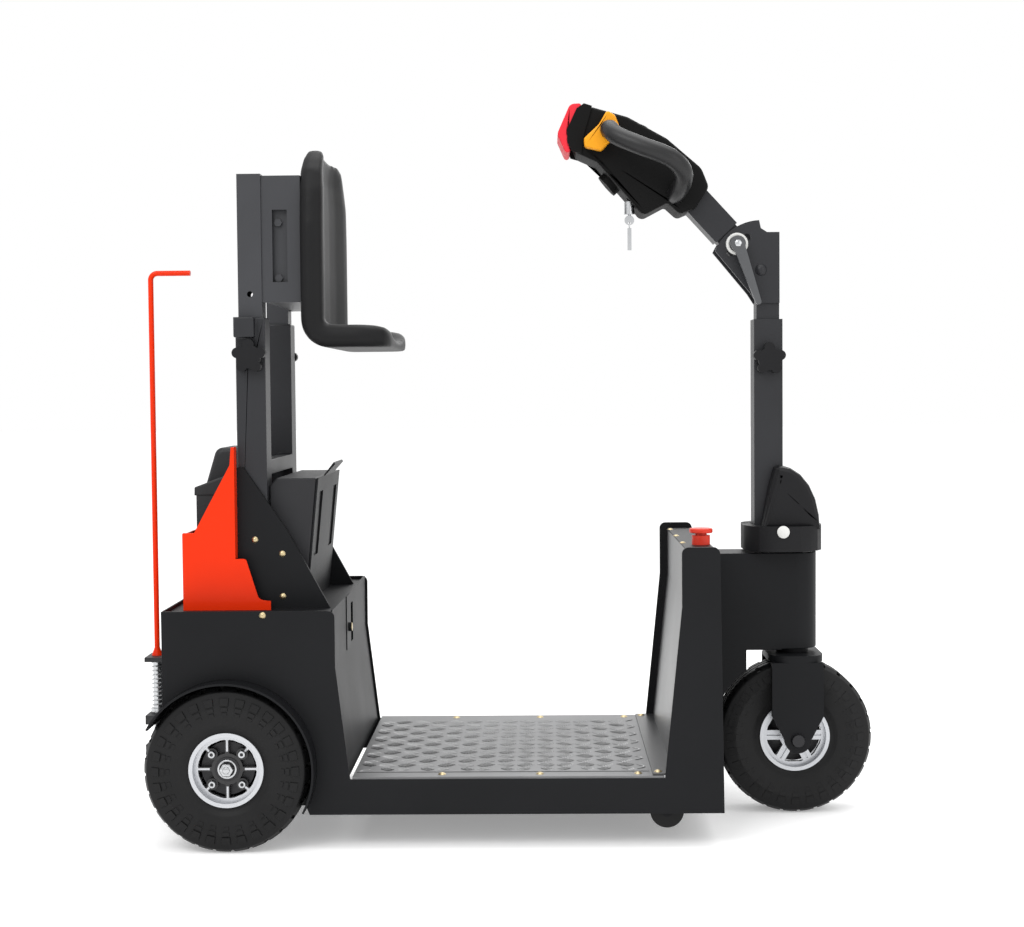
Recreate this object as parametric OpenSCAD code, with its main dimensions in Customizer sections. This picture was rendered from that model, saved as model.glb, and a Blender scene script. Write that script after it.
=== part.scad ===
// Stand-on electric tow tractor: folded steel chassis with a low tread-plate deck between a rear
// battery box and a front leg shield, two driven rear wheels, one steered front wheel, a seat on
// two telescopic posts, a telescopic steering column with a tilting tiller head, and a spring pin
// hitch. X runs forward, Y to the left, Z up, and the ground is at Z = 0.

/* [Overall] */
// Rear axle to front axle
wheelbase = 963; // [930:1:1000]
// Rear axle to the rearmost face of the hitch
rear_overhang = 191; // [185:1:200]
// Distance between the middles of the rear tyres
track = 500; // [496:1:510]
// Width over the outside of the side plates
frame_w = 524; // [520:1:530]

/* [Wheels] */
// Outer radius of the tyres
tyre_r = 136; // [132:1:138]
// Width of a tyre
tyre_w = 85; // [80:1:88]
// Radius of the rim where the tyre seats
rim_r = 58; // [54:1:62]
// Lugs round a tyre
lugs = 28; // [20:1:32]

/* [Side plates] */
// Thickness of the side plates
plate_t = 6; // [4:0.5:8]
// Height of the rear box
box_top_z = 394; // [385:1:400]
// Height of the tread plate
deck_z = 119; // [115:1:123]
// Height of the lower edge of the chassis
keel_z = 57; // [52:1:62]
// Height of the front box
leg_top_z = 494; // [488:1:500]
// Thickness of the folded sheets
sheet_t = 3; // [2:0.5:3.5]

/* [Seat] */
// Side of the square outer tubes that carry the seat
sleeve_w = 50; // [48:1:52]
// Side of the square inner tubes that carry the seat
post_w = 40; // [38:0.5:41]
// Height of the top of the outer tubes
sleeve_top_z = 878; // [860:1:885]
// Middle of each seat tube from the centre plane
post_y = 146; // [140:1:148]
// Half the width of the seat
seat_half_w = 190; // [170:1:200]

/* [Steering] */
// Side of the square outer column tube
column_w = 50; // [48:1:52]
// Side of the square inner column tube
inner_w = 40; // [38:0.5:41]
// Height of the top of the outer column
column_top_z = 873; // [850:1:885]
// Height of the tilt bolt
tilt_z = 959; // [950:1:970]
// Lean of the tiller arm from the horizontal, in degrees
tilt_angle = 47.5; // [44:0.5:50]
// Outer radius of the steering head tube
head_r = 42; // [40:0.5:44]

/* [Hitch] */
// Radius of the hitch pin
pin_r = 8; // [6:0.5:9]
// Clear height of the hitch jaw
jaw_gap = 36; // [32:1:42]
// Turns of the hitch spring
spring_turns = 11; // [8:1:12]

/* [Hidden] */

$fn = 48;
cut = 1;            // overrun of a cut past a face
gap = 0.3;          // clearance between pieces of different bodies
run = 0.05;         // radial clearance of a shaft in its bore

// Colours
charcoal = [0.16, 0.165, 0.175];
black = [0.09, 0.09, 0.1];
steel = [0.72, 0.73, 0.75];
zinc = [0.75, 0.7, 0.55];
orange = [0.93, 0.27, 0.12];
red = [0.8, 0.12, 0.16];
yellow = [0.95, 0.68, 0.1];

// Main places
rear_x = rear_overhang - (wheelbase + tyre_r + rear_overhang) / 2;
front_x = rear_x + wheelbase;
axle_z = tyre_r;
plate_out_y = frame_w / 2;
plate_in_y = plate_out_y - plate_t;
wheel_y = track / 2;

// Outline of the side plates, as distances from the axles
body_back = 107;        // rear axle back to the rear panel
box_front = 178;        // rear axle forward to the top of the battery box
box_foot = 200;         // rear axle forward to the foot of the battery box
box_kink_z = 301;
rail_z = 115;
leg_foot = 246;         // front axle back to the foot of the front box
leg_kink = 217;         // front axle back to the upright part of the front box
leg_kink_z = 396;
leg_front = 155;        // front axle back to the top front corner
leg_front_foot = 149;
heel_x = rear_x + 133;  // lower rear corner, just ahead of the mudguard
heel_step = 6;
heel_rise = 15;
corner_r = 11;
arch_gap = 6;           // tyre to mudguard
guard_t = 3.5;
guard_out_y = plate_out_y + 38;
guard_in_y = 198;
guard_start = -28;      // degrees above the forward horizontal
guard_end = 151;
arch_r = tyre_r + arch_gap + guard_t;
back_x = rear_x - body_back;
box_front_x = rear_x + box_front;
box_foot_x = rear_x + box_foot;
leg_foot_x = front_x - leg_foot;
leg_kink_x = front_x - leg_kink;
leg_front_x = front_x - leg_front;

// Deck
tread_t = deck_z - rail_z;
tread_lap = 3;              // side plate face to the edge of the tread plate
tread_gap = 3.5;
tread_rise = 0.8;           // patterned field over the bolted edges
cross_w = 40;               // cross tubes under the deck
cross_t = 3;
cross_drop = 5;             // keel to the bottom of a cross tube
cross_shares = [0.05, 0.32, 0.59, 0.86];
bolt_y = 240;
bolt_pitch = 162;
bolt_first = 350;           // rear axle forward to the first deck bolt
bolt_count = 3;
bolt_head_r = 7;
bolt_head_h = 3;

// Boxes
shield_inset = 14;          // front box cheek edge to the leg shield
shield_flange = 20;         // foot of the leg shield on the tread plate
top_drop = 10;              // cheek top to the plates between the cheeks
panel_inset = 7;
box_top_drop = 6;
screw_x = leg_kink_x + 17;
screw_pitch = 140;
screw_r = 5.5;
screw_h = 2.5;
lock_z = 336;
lock_y = -35;
lock_r = 8;
lock_h = 5;

// Battery, controller and covers
mast_x = rear_x + 31;
box_deck_z = box_top_z - box_top_drop;
cover_t = 2.5;
cover_y = 200;
cover_back_x = rear_x - 83;
cover_top_z = 518;
cover_peak_z = 661;
battery_back_x = rear_x - 75;
battery_front_x = rear_x - 2;
battery_y = 118;
battery_top_z = 576;
lid_lap = 3;
lid_t = 14;
lid_rise = 42;
hump_y = 62;
hump_z = 656;
ctrl_y = 150;
ctrl_top_z = 606;
tower_front_x = rear_x + 140;
tower_foot = 22;            // lean of the front cover over its height
tower_t = 3;
lip_y = 60;
lip_run = 18;
lip_rise = 20;
gusset_t = 6;
gusset_top_z = 626;
gusset_foot_x = rear_x + 161;
gusset_mid_x = rear_x + 89;
gusset_mid_z = 521;

// Seat tubes
sleeve_wall = (sleeve_w - post_w) / 2 - gap;
post_wall = 3;
post_foot_z = 640;
post_top_z = 1118;
sleeve_in_y = post_y - sleeve_w / 2;
sleeve_out_y = post_y + sleeve_w / 2;
tie_w = 25;
tie_z = 612;
index_z = 917;
index_pitch = 60;
index_r = 5;
block_w = 34;
block_h = 34;
block_t = 17;
knob_z = 812;
knob_lobe_r = 9;
knob_lobe_at = 20;
knob_core_r = 20;
knob_t = 15;
knob_neck_r = 11;
knob_neck_t = 5;
stud_r = 5;

// Seat bracket and seat
bracket_z = 903;
bracket_h = 212;
bracket_t = 6;
bracket_y = 157;
bracket_front_x = rear_x + 117;
slot_w = 25;
slot_h = 121;
slot_z = 937;
seat_back_x = bracket_front_x;
seat_top_z = 1163;
seat_low_z = 826;
seat_front_x = rear_x + 267;
seat_bend_r = 48;
seat_shell_t = 15;
seat_bolster = 40;
seat_steps = 9;

// Steering head
head_top_z = 462;
head_low_z = 293;
head_wall = 6;
arm_wall = 5;
arm_low_z = 200;
arm_under_z = 291;
swing_r = 86;               // circle swept by the fork crown
tyre_clear = 11;
stem_r = 20;
bearing_h = 18;
crown_z = 272;
crown_t = 12;
crown_x = 48;               // half length of the crown
crown_y = 70;               // half width of the fork
crown_r = 34;
leg_t = 9;
leg_x = 45;                 // half width of a fork leg
leg_taper_z = 178;
leg_end_r = 23;
axle_r = 8;
axle_head_r = 12.5;
axle_head_h = 7;

// Column
column_x = front_x - 44.5;
column_foot_z = 478;
column_wall = (column_w - inner_w) / 2 - gap;
foot_t = 12;
inner_wall = 3;
inner_foot_z = 640;
inner_cut_z = 912;
inner_top_z = 1025;
column_knob_z = 803;
tilt_x = front_x - 57;
tilt_plate_t = 5;
tilt_bolt_r = 6;
tilt_head_r = 10.5;
tilt_head_h = 6;
slot_r = 62;
slot_half_r = 6.5;
tilt_up = 20;
tilt_down = 18;
sector_r = 87;
sector_from = 92;
sector_to = 157;
arm_w = 50;
arm_tube_wall = 4;
arm_start = 89;
arm_end = 185;
tongue_h = 44;
tongue_gap = 0.5;
lever_hub_r = 13;
lever_hub_h = 16;
lever_len = 108;
lever_r = 5;
lever_t = 8;
washer_r = 19;
washer_t = 2.5;

// Shroud
shroud_x = front_x - 19;
shroud_z = 467;
shroud_rx = 69;
shroud_y = 76;
shroud_band = 44;
shroud_top_z = 616;
shroud_wall = 3;
cap_r = 10.5;
cap_t = 2;

// Hitch
hitch_x = rear_x - 174.5;
hitch_half_y = 30;
jaw_t = 16;
jaw_z = 110;
guide_z = 274;
guide_t = 8;
hitch_plate_t = 8;
collar_r = 13;
collar_t = 6;
collar_z = 181;
spring_r = 10.4;
spring_wire_r = 1.25;
rod_r = 4.75;
rod_top_z = 965;
rod_bend_r = 12;
rod_reach = 71;
cone_h = 14;
cone_r = 10;

// Drive
tube_r = 28;
tube_end_y = 222;
shaft_r = 12.5;
shaft_in_y = 96;
gear_y = -60;
gear_t = 40;
gear_r = 70;
motor_x = rear_x + 112;
motor_z = 168;
motor_r = 58;
motor_len = 165;
motor_flange_r = 64;
motor_fins = 10;

// Wheels
rim_half_w = 30;
rim_lip = 3.5;
rim_wall = 3;
disc_t = 9;
disc_y = 12;                // rim middle to the inner face of the disc
ring_w = 13;
hub_disc_r = 20;
hub_pcd = 70;
hub_bolt_r = 6.5;
hub_bolts = 4;
spoke_w = 7;
flange_r = 44;
flange_t = 8;

// Castors
castor_x = front_x - 241;
castor_y = 225;
castor_r = 28;
castor_w = 20;
castor_z = 54;
castor_pin_r = 4;
ear_t = 3;
ear_w = 26;
ear_top_z = 92;

// Emergency button
stop_x = front_x - 171;
stop_y = -100;
stop_r = 15.5;
stop_h = 16;
stop_cap_r = 20;
stop_cap_t = 8;
stop_stem_r = 10;
stop_travel = 4;

// Tiller head, as places from the front axle and heights
head_half_w = 48;
head_round = 7;
rocker_x = front_x - 323;
rocker_z = 1197;
rocker_in_y = 53;
rocker_t = 20;
rocker_wall = 3;
grip_shaft_r = 10;
belly_stem_r = 6;
key_x = front_x - 287;
key_y = -24;
key_z = 1058;
key_r = 9;
horn_x = front_x - 262;
horn_z = 1211;
horn_r = 8;
horn_tip = 26;              // lean of the top face, in degrees
horn_stem = 14;
horn_travel = 2.5;
belly_lean = -20.7;         // lean of the belly button, in degrees
belly_x = front_x - 397;
belly_z = 1197;
belly_half_w = 50;
belly_stem = 24;
belly_travel = 6;
grip_r = 16;
grip_span = 300;
boss_r = 21;
boss_h = 11;
boss_x = front_x - 318;
boss_z = 1117;
boss_lean = 49;             // degrees of the underside from the horizontal

// Rounded outlines and swept tubes

function unit(v) = v / norm(v);

// Arc that rounds the corner b between a and c with radius r
function arc_corner(a, b, c, r, n = 5) =
    let (u = unit(a - b), v = unit(c - b), half = acos(u * v) / 2)
    let (o = b + unit(u + v) * r / sin(half), s = b + u * r / tan(half), e = b + v * r / tan(half))
    let (a0 = atan2(s.y - o.y, s.x - o.x), d = atan2(e.y - o.y, e.x - o.x) - a0)
    let (turn = d > 180 ? d - 360 : d < -180 ? d + 360 : d)
    [for (i = [0:n]) o + r * [cos(a0 + turn * i / n), sin(a0 + turn * i / n)]];

// Outline whose points are [x, y] or [x, y, radius]
function rounded(p) = let (n = len(p)) [for (i = [0:n - 1])
    let (a = p[(i + n - 1) % n], b = p[i], c = p[(i + 1) % n])
    each (len(b) == 3 ? arc_corner([a.x, a.y], [b.x, b.y], [c.x, c.y], b[2]) : [[b.x, b.y]])];

// Arc of points from angle a to angle b about c
function arc(c, r, a, b, n = 8) = [for (i = [0:n]) c + r * [cos(a + (b - a) * i / n), sin(a + (b - a) * i / n)]];

// Inward normal of point i of a closed outline that runs counterclockwise
function inward(p, i) = let (n = len(p), d = unit(p[(i + 1) % n] - p[(i + n - 1) % n])) [-d.y, d.x];

// Point on a smooth curve through the points p, at place s from 0 to len(p) - 1
function curve(p, s) =
    let (n = len(p) - 1, i = min(floor(s), n - 1), t = s - i)
    let (a = p[max(i - 1, 0)], b = p[i], c = p[i + 1], d = p[min(i + 2, n)])
    0.5 * (2 * b + (c - a) * t + (2 * a - 5 * b + 4 * c - d) * t * t
        + (3 * b - a - 3 * c + d) * t * t * t);

// Triangles that join rings of m points, with both ends closed
function ring_faces(count, m) = concat(
    [for (k = [0:count - 2], i = [0:m - 1], h = [0, 1])
        let (a = k * m + i, b = k * m + (i + 1) % m)
        h == 0 ? [a, b, b + m] : [a, b + m, a + m]],
    [[for (i = [m - 1:-1:0]) i], [for (i = [0:m - 1]) (count - 1) * m + i]]);

// Outline p across the vehicle, w to each side of the middle, with edges rounded to r
module pillow(p, w, r, steps = 3) {
    levels = concat([for (k = [0:steps]) [-1, 90 - 90 * k / steps]], [for (k = [0:steps]) [1, 90 * k / steps]]);
    m = len(p);
    points = [for (l = levels, i = [0:m - 1])
        let (q = p[i] + inward(p, i) * r * (1 - cos(l[1])))
        [q.x, l[0] * (w - r + r * sin(l[1])), q.y]];
    faces = ring_faces(len(levels), m);
    polyhedron(points, faces);
}

// Round tube of radius r along the curve through p
module sweep(p, r, up, rings = 24, sides = 12) {
    last = len(p) - 1;
    points = [for (k = [0:rings])
        let (s = last * k / rings, c = curve(p, s))
        let (t = unit(curve(p, min(s + last / rings / 2, last)) - curve(p, max(s - last / rings / 2, 0))))
        let (n = unit(cross(t, up)), b = cross(n, t))
        for (i = [0:sides - 1]) c + r * (n * cos(360 * i / sides) + b * sin(360 * i / sides))];
    polyhedron(points, ring_faces(rings + 1, sides));
}

// Extrudes a side outline across the vehicle from y0 to y1
module across(y0, y1) {
    translate([0, y1, 0]) rotate([90, 0, 0]) linear_extrude(y1 - y0) children();
}

module both() {
    children();
    mirror([0, 1, 0]) children();
}

module rod_y(r, y0, y1, x, z) {
    translate([x, y0, z]) rotate([-90, 0, 0]) cylinder(r = r, h = y1 - y0);
}

module block(x0, x1, y0, y1, z0, z1) {
    translate([x0, y0, z0]) cube([x1 - x0, y1 - y0, z1 - z0]);
}

// Domed head of a button screw that stands on z = 0
module dome(r, h) {
    ball = (r * r + h * h) / (2 * h);
    intersection() {
        translate([0, 0, h - ball]) sphere(r = ball);
        cylinder(r = r + cut, h = h + cut);
    }
}

module square_tube(w, wall, z0, z1) {
    difference() {
        translate([-w / 2, -w / 2, z0]) cube([w, w, z1 - z0]);
        translate([-w / 2 + wall, -w / 2 + wall, z0 - cut])
            cube([w - 2 * wall, w - 2 * wall, z1 - z0 + 2 * cut]);
    }
}

// Chassis plates

module side_outline() {
    polygon(rounded([
        [back_x, box_top_z], [back_x, axle_z], [rear_x, axle_z],
        [heel_x - heel_step, keel_z + heel_rise], [heel_x, keel_z],
        [front_x - leg_front_foot, keel_z], [leg_front_x, leg_top_z, corner_r],
        [leg_kink_x, leg_top_z, corner_r], [leg_kink_x, leg_kink_z, corner_r],
        [leg_foot_x, rail_z], [box_foot_x, rail_z],
        [box_front_x, box_kink_z, corner_r], [box_front_x, box_top_z, corner_r]]));
}

module side_plate() {
    color(charcoal) across(plate_in_y, plate_out_y) difference() {
        side_outline();
        translate([rear_x, axle_z]) circle(r = arch_r, $fn = 96);
    }
}

module mudguard() {
    translate([rear_x, 0, axle_z]) rotate([90, 0, 0]) rotate([0, 0, guard_start])
        rotate_extrude(angle = guard_end - guard_start, $fn = 96)
            translate([arch_r - guard_t, guard_in_y]) square([guard_t, guard_out_y - guard_in_y]);
    across(-guard_in_y, -guard_in_y + sheet_t) difference() {
        intersection() {
            translate([rear_x, axle_z]) circle(r = arch_r, $fn = 96);
            translate([rear_x - arch_r, keel_z]) square([2 * arch_r, 2 * arch_r]);
        }
        translate([rear_x, axle_z]) circle(r = tube_r + 2 * gap);
    }
}

module deck_frame() {
    span = leg_foot_x - box_foot_x;
    low = keel_z + cross_drop;
    color(charcoal) for (s = cross_shares) translate([box_foot_x + span * s, 0, 0]) difference() {
        block(-cross_w / 2, cross_w / 2, -plate_in_y, plate_in_y, low, rail_z);
        block(-cross_w / 2 + cross_t, cross_w / 2 - cross_t, -plate_in_y - cut, plate_in_y + cut,
            low + cross_t, rail_z - cross_t);
    }
}

module tread_plate() {
    edge = plate_out_y - tread_lap;
    field_y = bolt_y - 2 * bolt_head_r;
    color(steel) {
        block(box_foot_x + tread_gap, leg_foot_x - cut, -edge, edge, rail_z, deck_z);
        block(box_foot_x + 2 * tread_gap, leg_foot_x - shield_flange - tread_gap, -field_y, field_y,
            deck_z - cut, deck_z + tread_rise);
    }
}

// Button-head bolts down both sides of the tread plate, and on the foot of the leg shield
module deck_bolts() {
    color(zinc) both() {
        for (i = [0:bolt_count - 1]) translate([rear_x + bolt_first + bolt_pitch * i, bolt_y, deck_z])
            dome(bolt_head_r, bolt_head_h);
        translate([leg_foot_x - shield_flange / 2, bolt_y, deck_z + sheet_t])
            dome(bolt_head_r, bolt_head_h);
    }
}

// Folded sheet that closes the back and the top of the battery box
module rear_panel() {
    low_y = guard_in_y - sheet_t - cut;
    color(charcoal) {
        difference() {
            union() {
                block(back_x, back_x + sheet_t, -plate_in_y, plate_in_y,
                    axle_z + sqrt(arch_r * arch_r - pow(body_back - sheet_t, 2)) + cut, box_top_z);
                block(back_x, back_x + sheet_t, -low_y, low_y, keel_z + heel_rise, box_top_z);
                block(back_x, box_front_x - panel_inset, -plate_in_y, plate_in_y,
                    box_deck_z - sheet_t, box_deck_z);
            }
            both() block(mast_x - sleeve_w / 2, mast_x + sleeve_w / 2, sleeve_in_y, sleeve_out_y,
                box_deck_z - sheet_t - cut, box_deck_z + cut);
        }
    }
}

// Inclined front of the battery box, with its lock plate
module battery_bay_panel() {
    edge = plate_in_y - gap;
    top_x = box_front_x - panel_inset + sheet_t;
    foot_x = box_foot_x - panel_inset + sheet_t;
    lock_w = 60;
    lock_tall = 96;
    color(charcoal) {
        across(-edge, edge) polygon([[top_x - sheet_t, box_top_z], [top_x - sheet_t, box_kink_z],
            [foot_x - sheet_t, rail_z], [foot_x, rail_z], [top_x, box_kink_z], [top_x, box_top_z]]);
    }
    color(black) block(top_x, top_x + sheet_t / 2, lock_y - lock_w / 2, lock_y + lock_w / 2,
        box_top_z - lock_tall + cut, box_top_z - cut);
    color(zinc) translate([top_x + sheet_t / 2, lock_y, lock_z]) rotate([0, 90, 0])
        cylinder(r = lock_r, h = lock_h);
}

shield_top_z = leg_top_z - top_drop;

module leg_shield() {
    edge = plate_in_y - gap;
    foot_x = leg_foot_x + shield_inset;
    kink_x = leg_kink_x + shield_inset;
    color(charcoal) across(-edge, edge) polygon([
        [leg_foot_x - shield_flange, deck_z], [foot_x + sheet_t, deck_z],
        [kink_x + sheet_t, leg_kink_z], [kink_x + sheet_t, shield_top_z - sheet_t],
        [kink_x, shield_top_z - sheet_t], [kink_x, leg_kink_z], [foot_x, deck_z + sheet_t],
        [leg_foot_x - shield_flange, deck_z + sheet_t]]);
}

// Folded sheet that closes the top and the front of the front box
module front_box_cover() {
    edge = plate_in_y - gap;
    color(charcoal) difference() {
        union() {
            block(leg_kink_x + shield_inset, leg_front_x, -edge, edge,
                shield_top_z - sheet_t, shield_top_z);
            block(leg_front_x - sheet_t, leg_front_x, -edge, edge, keel_z, shield_top_z);
        }
        translate([stop_x, stop_y, shield_top_z - sheet_t - cut])
            cylinder(r = stop_stem_r + gap, h = sheet_t + 2 * cut);
    }
}

gusset_bolts = [[rear_x + 35, 504], [rear_x + 81, 480], [rear_x + 81, 408]];

module frame_bolts() {
    color(zinc) {
        for (i = [-1.5:1.5]) translate([screw_x, screw_pitch * i, shield_top_z]) dome(screw_r, screw_h);
        both() {
            for (b = gusset_bolts) translate([b.x, sleeve_out_y + gusset_t, b.y]) rotate([-90, 0, 0])
                dome(screw_r, bolt_head_h);
            translate([rear_x + 60, plate_out_y, box_top_z - bolt_head_r]) rotate([-90, 0, 0])
                dome(screw_r, bolt_head_h);
        }
    }
}

// Steering head: the box arm and the tube that it carries

function arm_outline(wall) = let (c = [front_x, axle_z], r = tyre_r + tyre_clear + wall)
    let (a1 = acos(-(swing_r + wall) / r), a0 = acos(-(leg_front - leg_end_r - wall) / r))
    concat([[leg_front_x + wall, head_top_z - wall], [leg_front_x + wall, arm_low_z + wall]],
        arc(c, r, min(a0, 152), a1, 6),
        [[front_x - swing_r - wall, arm_under_z + wall], [front_x, arm_under_z + wall],
        [front_x, head_top_z - wall]]);

module steering_head() {
    color(charcoal) difference() {
        union() {
            across(-head_r, head_r) polygon(arm_outline(0));
            translate([front_x, 0, head_low_z]) cylinder(r = head_r, h = head_top_z - head_low_z);
        }
        across(-head_r + arm_wall, head_r - arm_wall) polygon(arm_outline(arm_wall));
        translate([front_x, 0, head_low_z - cut - head_wall])
            cylinder(r = head_r - head_wall, h = head_top_z - head_low_z + 2 * cut + head_wall);
        translate([front_x, 0, arm_under_z - cut])
            cylinder(r = head_r + head_wall, h = head_low_z - arm_under_z + cut);
    }
    color(charcoal) translate([front_x, 0, head_low_z]) difference() {
        cylinder(r = head_r, h = head_top_z - head_low_z);
        translate([0, 0, -cut])
            cylinder(r = head_r - head_wall, h = head_top_z - head_low_z + 2 * cut);
    }
}

module head_bearings() {
    color(steel) for (z = [head_low_z, head_top_z - bearing_h]) translate([front_x, 0, z]) difference() {
        cylinder(r = head_r - head_wall, h = bearing_h);
        translate([0, 0, -cut]) cylinder(r = stem_r + run, h = bearing_h + 2 * cut);
    }
}

module emergency_base() {
    color(red) translate([stop_x, stop_y, shield_top_z]) difference() {
        cylinder(r = stop_r, h = stop_h);
        translate([0, 0, -cut]) cylinder(r = stop_stem_r + gap, h = stop_h + 2 * cut);
    }
}

module emergency_knob() {
    color(red) translate([stop_x, stop_y, shield_top_z]) {
        translate([0, 0, stop_h + stop_travel]) rotate_extrude()
            polygon(rounded([[0, 0], [stop_cap_r, 0, stop_cap_t / 4],
                [stop_cap_r, stop_cap_t, stop_cap_t / 3], [0, stop_cap_t]]));
        cylinder(r = stop_stem_r, h = stop_h + stop_travel);
    }
}

// Anti-tip castors under the front box

module castor_bracket() {
    half = castor_w / 2 + gap;
    difference() {
        union() {
            for (y = [castor_y - half - ear_t, castor_y + half]) across(y, y + ear_t) polygon(concat(
                [[castor_x + ear_w / 2, ear_top_z], [castor_x - ear_w / 2, ear_top_z]],
                arc([castor_x, castor_z], ear_w / 3, 180, 360)));
            block(castor_x - ear_w / 2, castor_x + ear_w / 2, castor_y - half - ear_t, plate_in_y,
                ear_top_z, ear_top_z + ear_t);
        }
    }
    rod_y(castor_pin_r, castor_y - half, castor_y + half, castor_x, castor_z);
}

module castor() {
    tread = 6;
    translate([castor_x, castor_y, castor_z]) rotate([90, 0, 0]) rotate_extrude() {
        polygon(rounded([[castor_pin_r + run, -castor_w / 2], [castor_r - tread, -castor_w / 2],
            [castor_r, -castor_w / 2, tread / 2], [castor_r, castor_w / 2, tread / 2],
            [castor_r - tread, castor_w / 2], [castor_pin_r + run, castor_w / 2]]));
    }
}

// Seat mast

module mast_sleeve() {
    translate([mast_x, post_y, 0]) difference() {
        square_tube(sleeve_w, sleeve_wall, box_deck_z - sheet_t, sleeve_top_z);
        rod_y(stud_r + gap, 0, sleeve_w, 0, knob_z);
    }
    block(mast_x - sleeve_w / 2, mast_x - sleeve_w / 2 + block_w, sleeve_out_y,
        sleeve_out_y + block_t, sleeve_top_z - block_h, sleeve_top_z);
}

module seat_mast() {
    color(charcoal) {
        both() mast_sleeve();
        difference() {
            block(mast_x + sleeve_w / 2 - tie_w, mast_x + sleeve_w / 2, -sleeve_in_y, sleeve_in_y,
                tie_z, tie_z + tie_w);
            block(mast_x + sleeve_w / 2 - tie_w + post_wall, mast_x + sleeve_w / 2 - post_wall,
                -sleeve_in_y - cut, sleeve_in_y + cut, tie_z + post_wall, tie_z + tie_w - post_wall);
        }
    }
}

module gusset() {
    foot_x = mast_x - sleeve_w / 2;
    across(sleeve_out_y, sleeve_out_y + gusset_t) polygon(rounded([
        [foot_x, box_deck_z], [gusset_foot_x, box_deck_z],
        [gusset_mid_x, gusset_mid_z, corner_r], [foot_x + corner_r, gusset_top_z],
        [foot_x, gusset_top_z]]));
}

// Orange sheet cover round the back of the battery
module rear_cover() {
    edge_x = mast_x - sleeve_w / 2 - gap - cover_t;
    shoulder = 20;
    peak_w = 5;
    foot_z = 474;
    foot_w = 15;
    toe_x = rear_x + 64;
    toe_z = 403;
    color(orange) {
        both() {
            across(cover_y - cover_t, cover_y) polygon(rounded([
                [cover_back_x, box_deck_z], [toe_x, box_deck_z], [toe_x, toe_z],
                [toe_x - shoulder, toe_z + cover_t, corner_r],
                [edge_x + foot_w + 2 * cover_t, foot_z, corner_r / 2], [edge_x + cover_t, foot_z],
                [edge_x + cover_t, cover_peak_z], [edge_x - cover_t, cover_peak_z],
                [edge_x - peak_w, cover_peak_z - 6 * peak_w], [cover_back_x + shoulder, cover_top_z],
                [cover_back_x, cover_top_z, cover_t]]));
            block(edge_x, edge_x + cover_t, sleeve_out_y + gusset_t + gap, cover_y,
                foot_z, cover_peak_z);
        }
        block(cover_back_x, cover_back_x + cover_t, -cover_y, cover_y, box_deck_z, cover_top_z - cover_t);
    }
}

module battery_case() {
    ribs = 5;
    rib = 2.5;
    color(black) {
        block(battery_back_x, battery_front_x, -battery_y, battery_y, box_deck_z, battery_top_z);
        for (i = [-ribs:ribs]) translate([battery_back_x - rib, i * battery_y / (ribs + 1), box_deck_z])
            cube([rib, rib, battery_top_z - box_deck_z - lid_lap]);
    }
}

// Moulded lid with its carrying hump
module battery_lid() {
    back = battery_back_x - lid_lap;
    front = battery_front_x;
    color(black) {
        pillow(rounded([[back, battery_top_z], [front, battery_top_z],
            [front, battery_top_z + lid_rise, lid_lap], [back, battery_top_z + lid_t, lid_lap]]),
            battery_y + lid_lap, lid_lap);
    }
    color(black) intersection() {
        pillow(rounded([[back + lid_lap, battery_top_z], [front - lid_lap, battery_top_z],
            [front - lid_lap, hump_z, 3 * lid_lap], [back + 9 * lid_lap, hump_z, 5 * lid_lap]]),
            hump_y, 3 * lid_lap);
        across(-battery_y, battery_y) polygon([
            [back, battery_top_z + lid_t - lid_lap], [front, battery_top_z + lid_rise - lid_lap],
            [front, hump_z + lid_t], [back, hump_z + lid_t]]);
    }
}

module controller_box() {
    back = mast_x + sleeve_w / 2 + gap;
    color(black) pillow(rounded([[back, box_deck_z], [tower_front_x - tower_foot - tower_t, box_deck_z],
        [tower_front_x - tower_t - 3 * gap, ctrl_top_z, tower_t],
        [back + 4 * tower_t, ctrl_top_z, tower_t], [back, ctrl_top_z - 4 * tower_t, tower_t]]),
        ctrl_y, tower_t);
}

// Front cover of the seat tower, with two slots and a pull lip
module column_cover() {
    slot_w = 50;
    slot_tall = 110;
    slot_at = 95;
    foot_x = tower_front_x - tower_foot;
    color(charcoal) difference() {
        union() {
            across(-ctrl_y, ctrl_y) polygon([[foot_x - tower_t, box_deck_z], [foot_x, box_deck_z],
                [tower_front_x, ctrl_top_z], [tower_front_x - tower_t, ctrl_top_z]]);
            across(-lip_y, lip_y) polygon([[tower_front_x - tower_t, ctrl_top_z],
                [tower_front_x, ctrl_top_z], [tower_front_x + lip_run, ctrl_top_z + lip_rise],
                [tower_front_x + lip_run - tower_t, ctrl_top_z + lip_rise + tower_t]]);
        }
        for (s = [-1, 1]) translate([tower_front_x - tower_t - tower_foot, s * slot_at - slot_w / 2,
            ctrl_top_z - slot_tall - tie_w]) cube([2 * tower_foot, slot_w, slot_tall]);
    }
}

module transaxle() {
    drop = 4;
    color(steel) difference() {
        union() {
            rod_y(tube_r, -tube_end_y, tube_end_y, rear_x, axle_z);
            across(gear_y - gear_t, gear_y) {
                translate([rear_x, axle_z]) circle(r = gear_r);
                translate([motor_x, motor_z]) circle(r = motor_flange_r);
                polygon([[rear_x, axle_z - gear_r + drop], [motor_x, motor_z - motor_flange_r],
                    [motor_x, motor_z + motor_flange_r], [rear_x, axle_z + gear_r]]);
            }
        }
        both() rod_y(shaft_r + run, shaft_in_y, tube_end_y + cut, rear_x, axle_z);
    }
}

module drive_motor() {
    fin = 3;
    color(black) {
        rod_y(motor_r - fin, gear_y, gear_y + motor_len, motor_x, motor_z);
        for (i = [1:motor_fins]) rod_y(motor_r, gear_y + motor_len * i / (motor_fins + 1),
            gear_y + motor_len * i / (motor_fins + 1) + fin, motor_x, motor_z);
    }
}

// Hitch

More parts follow.
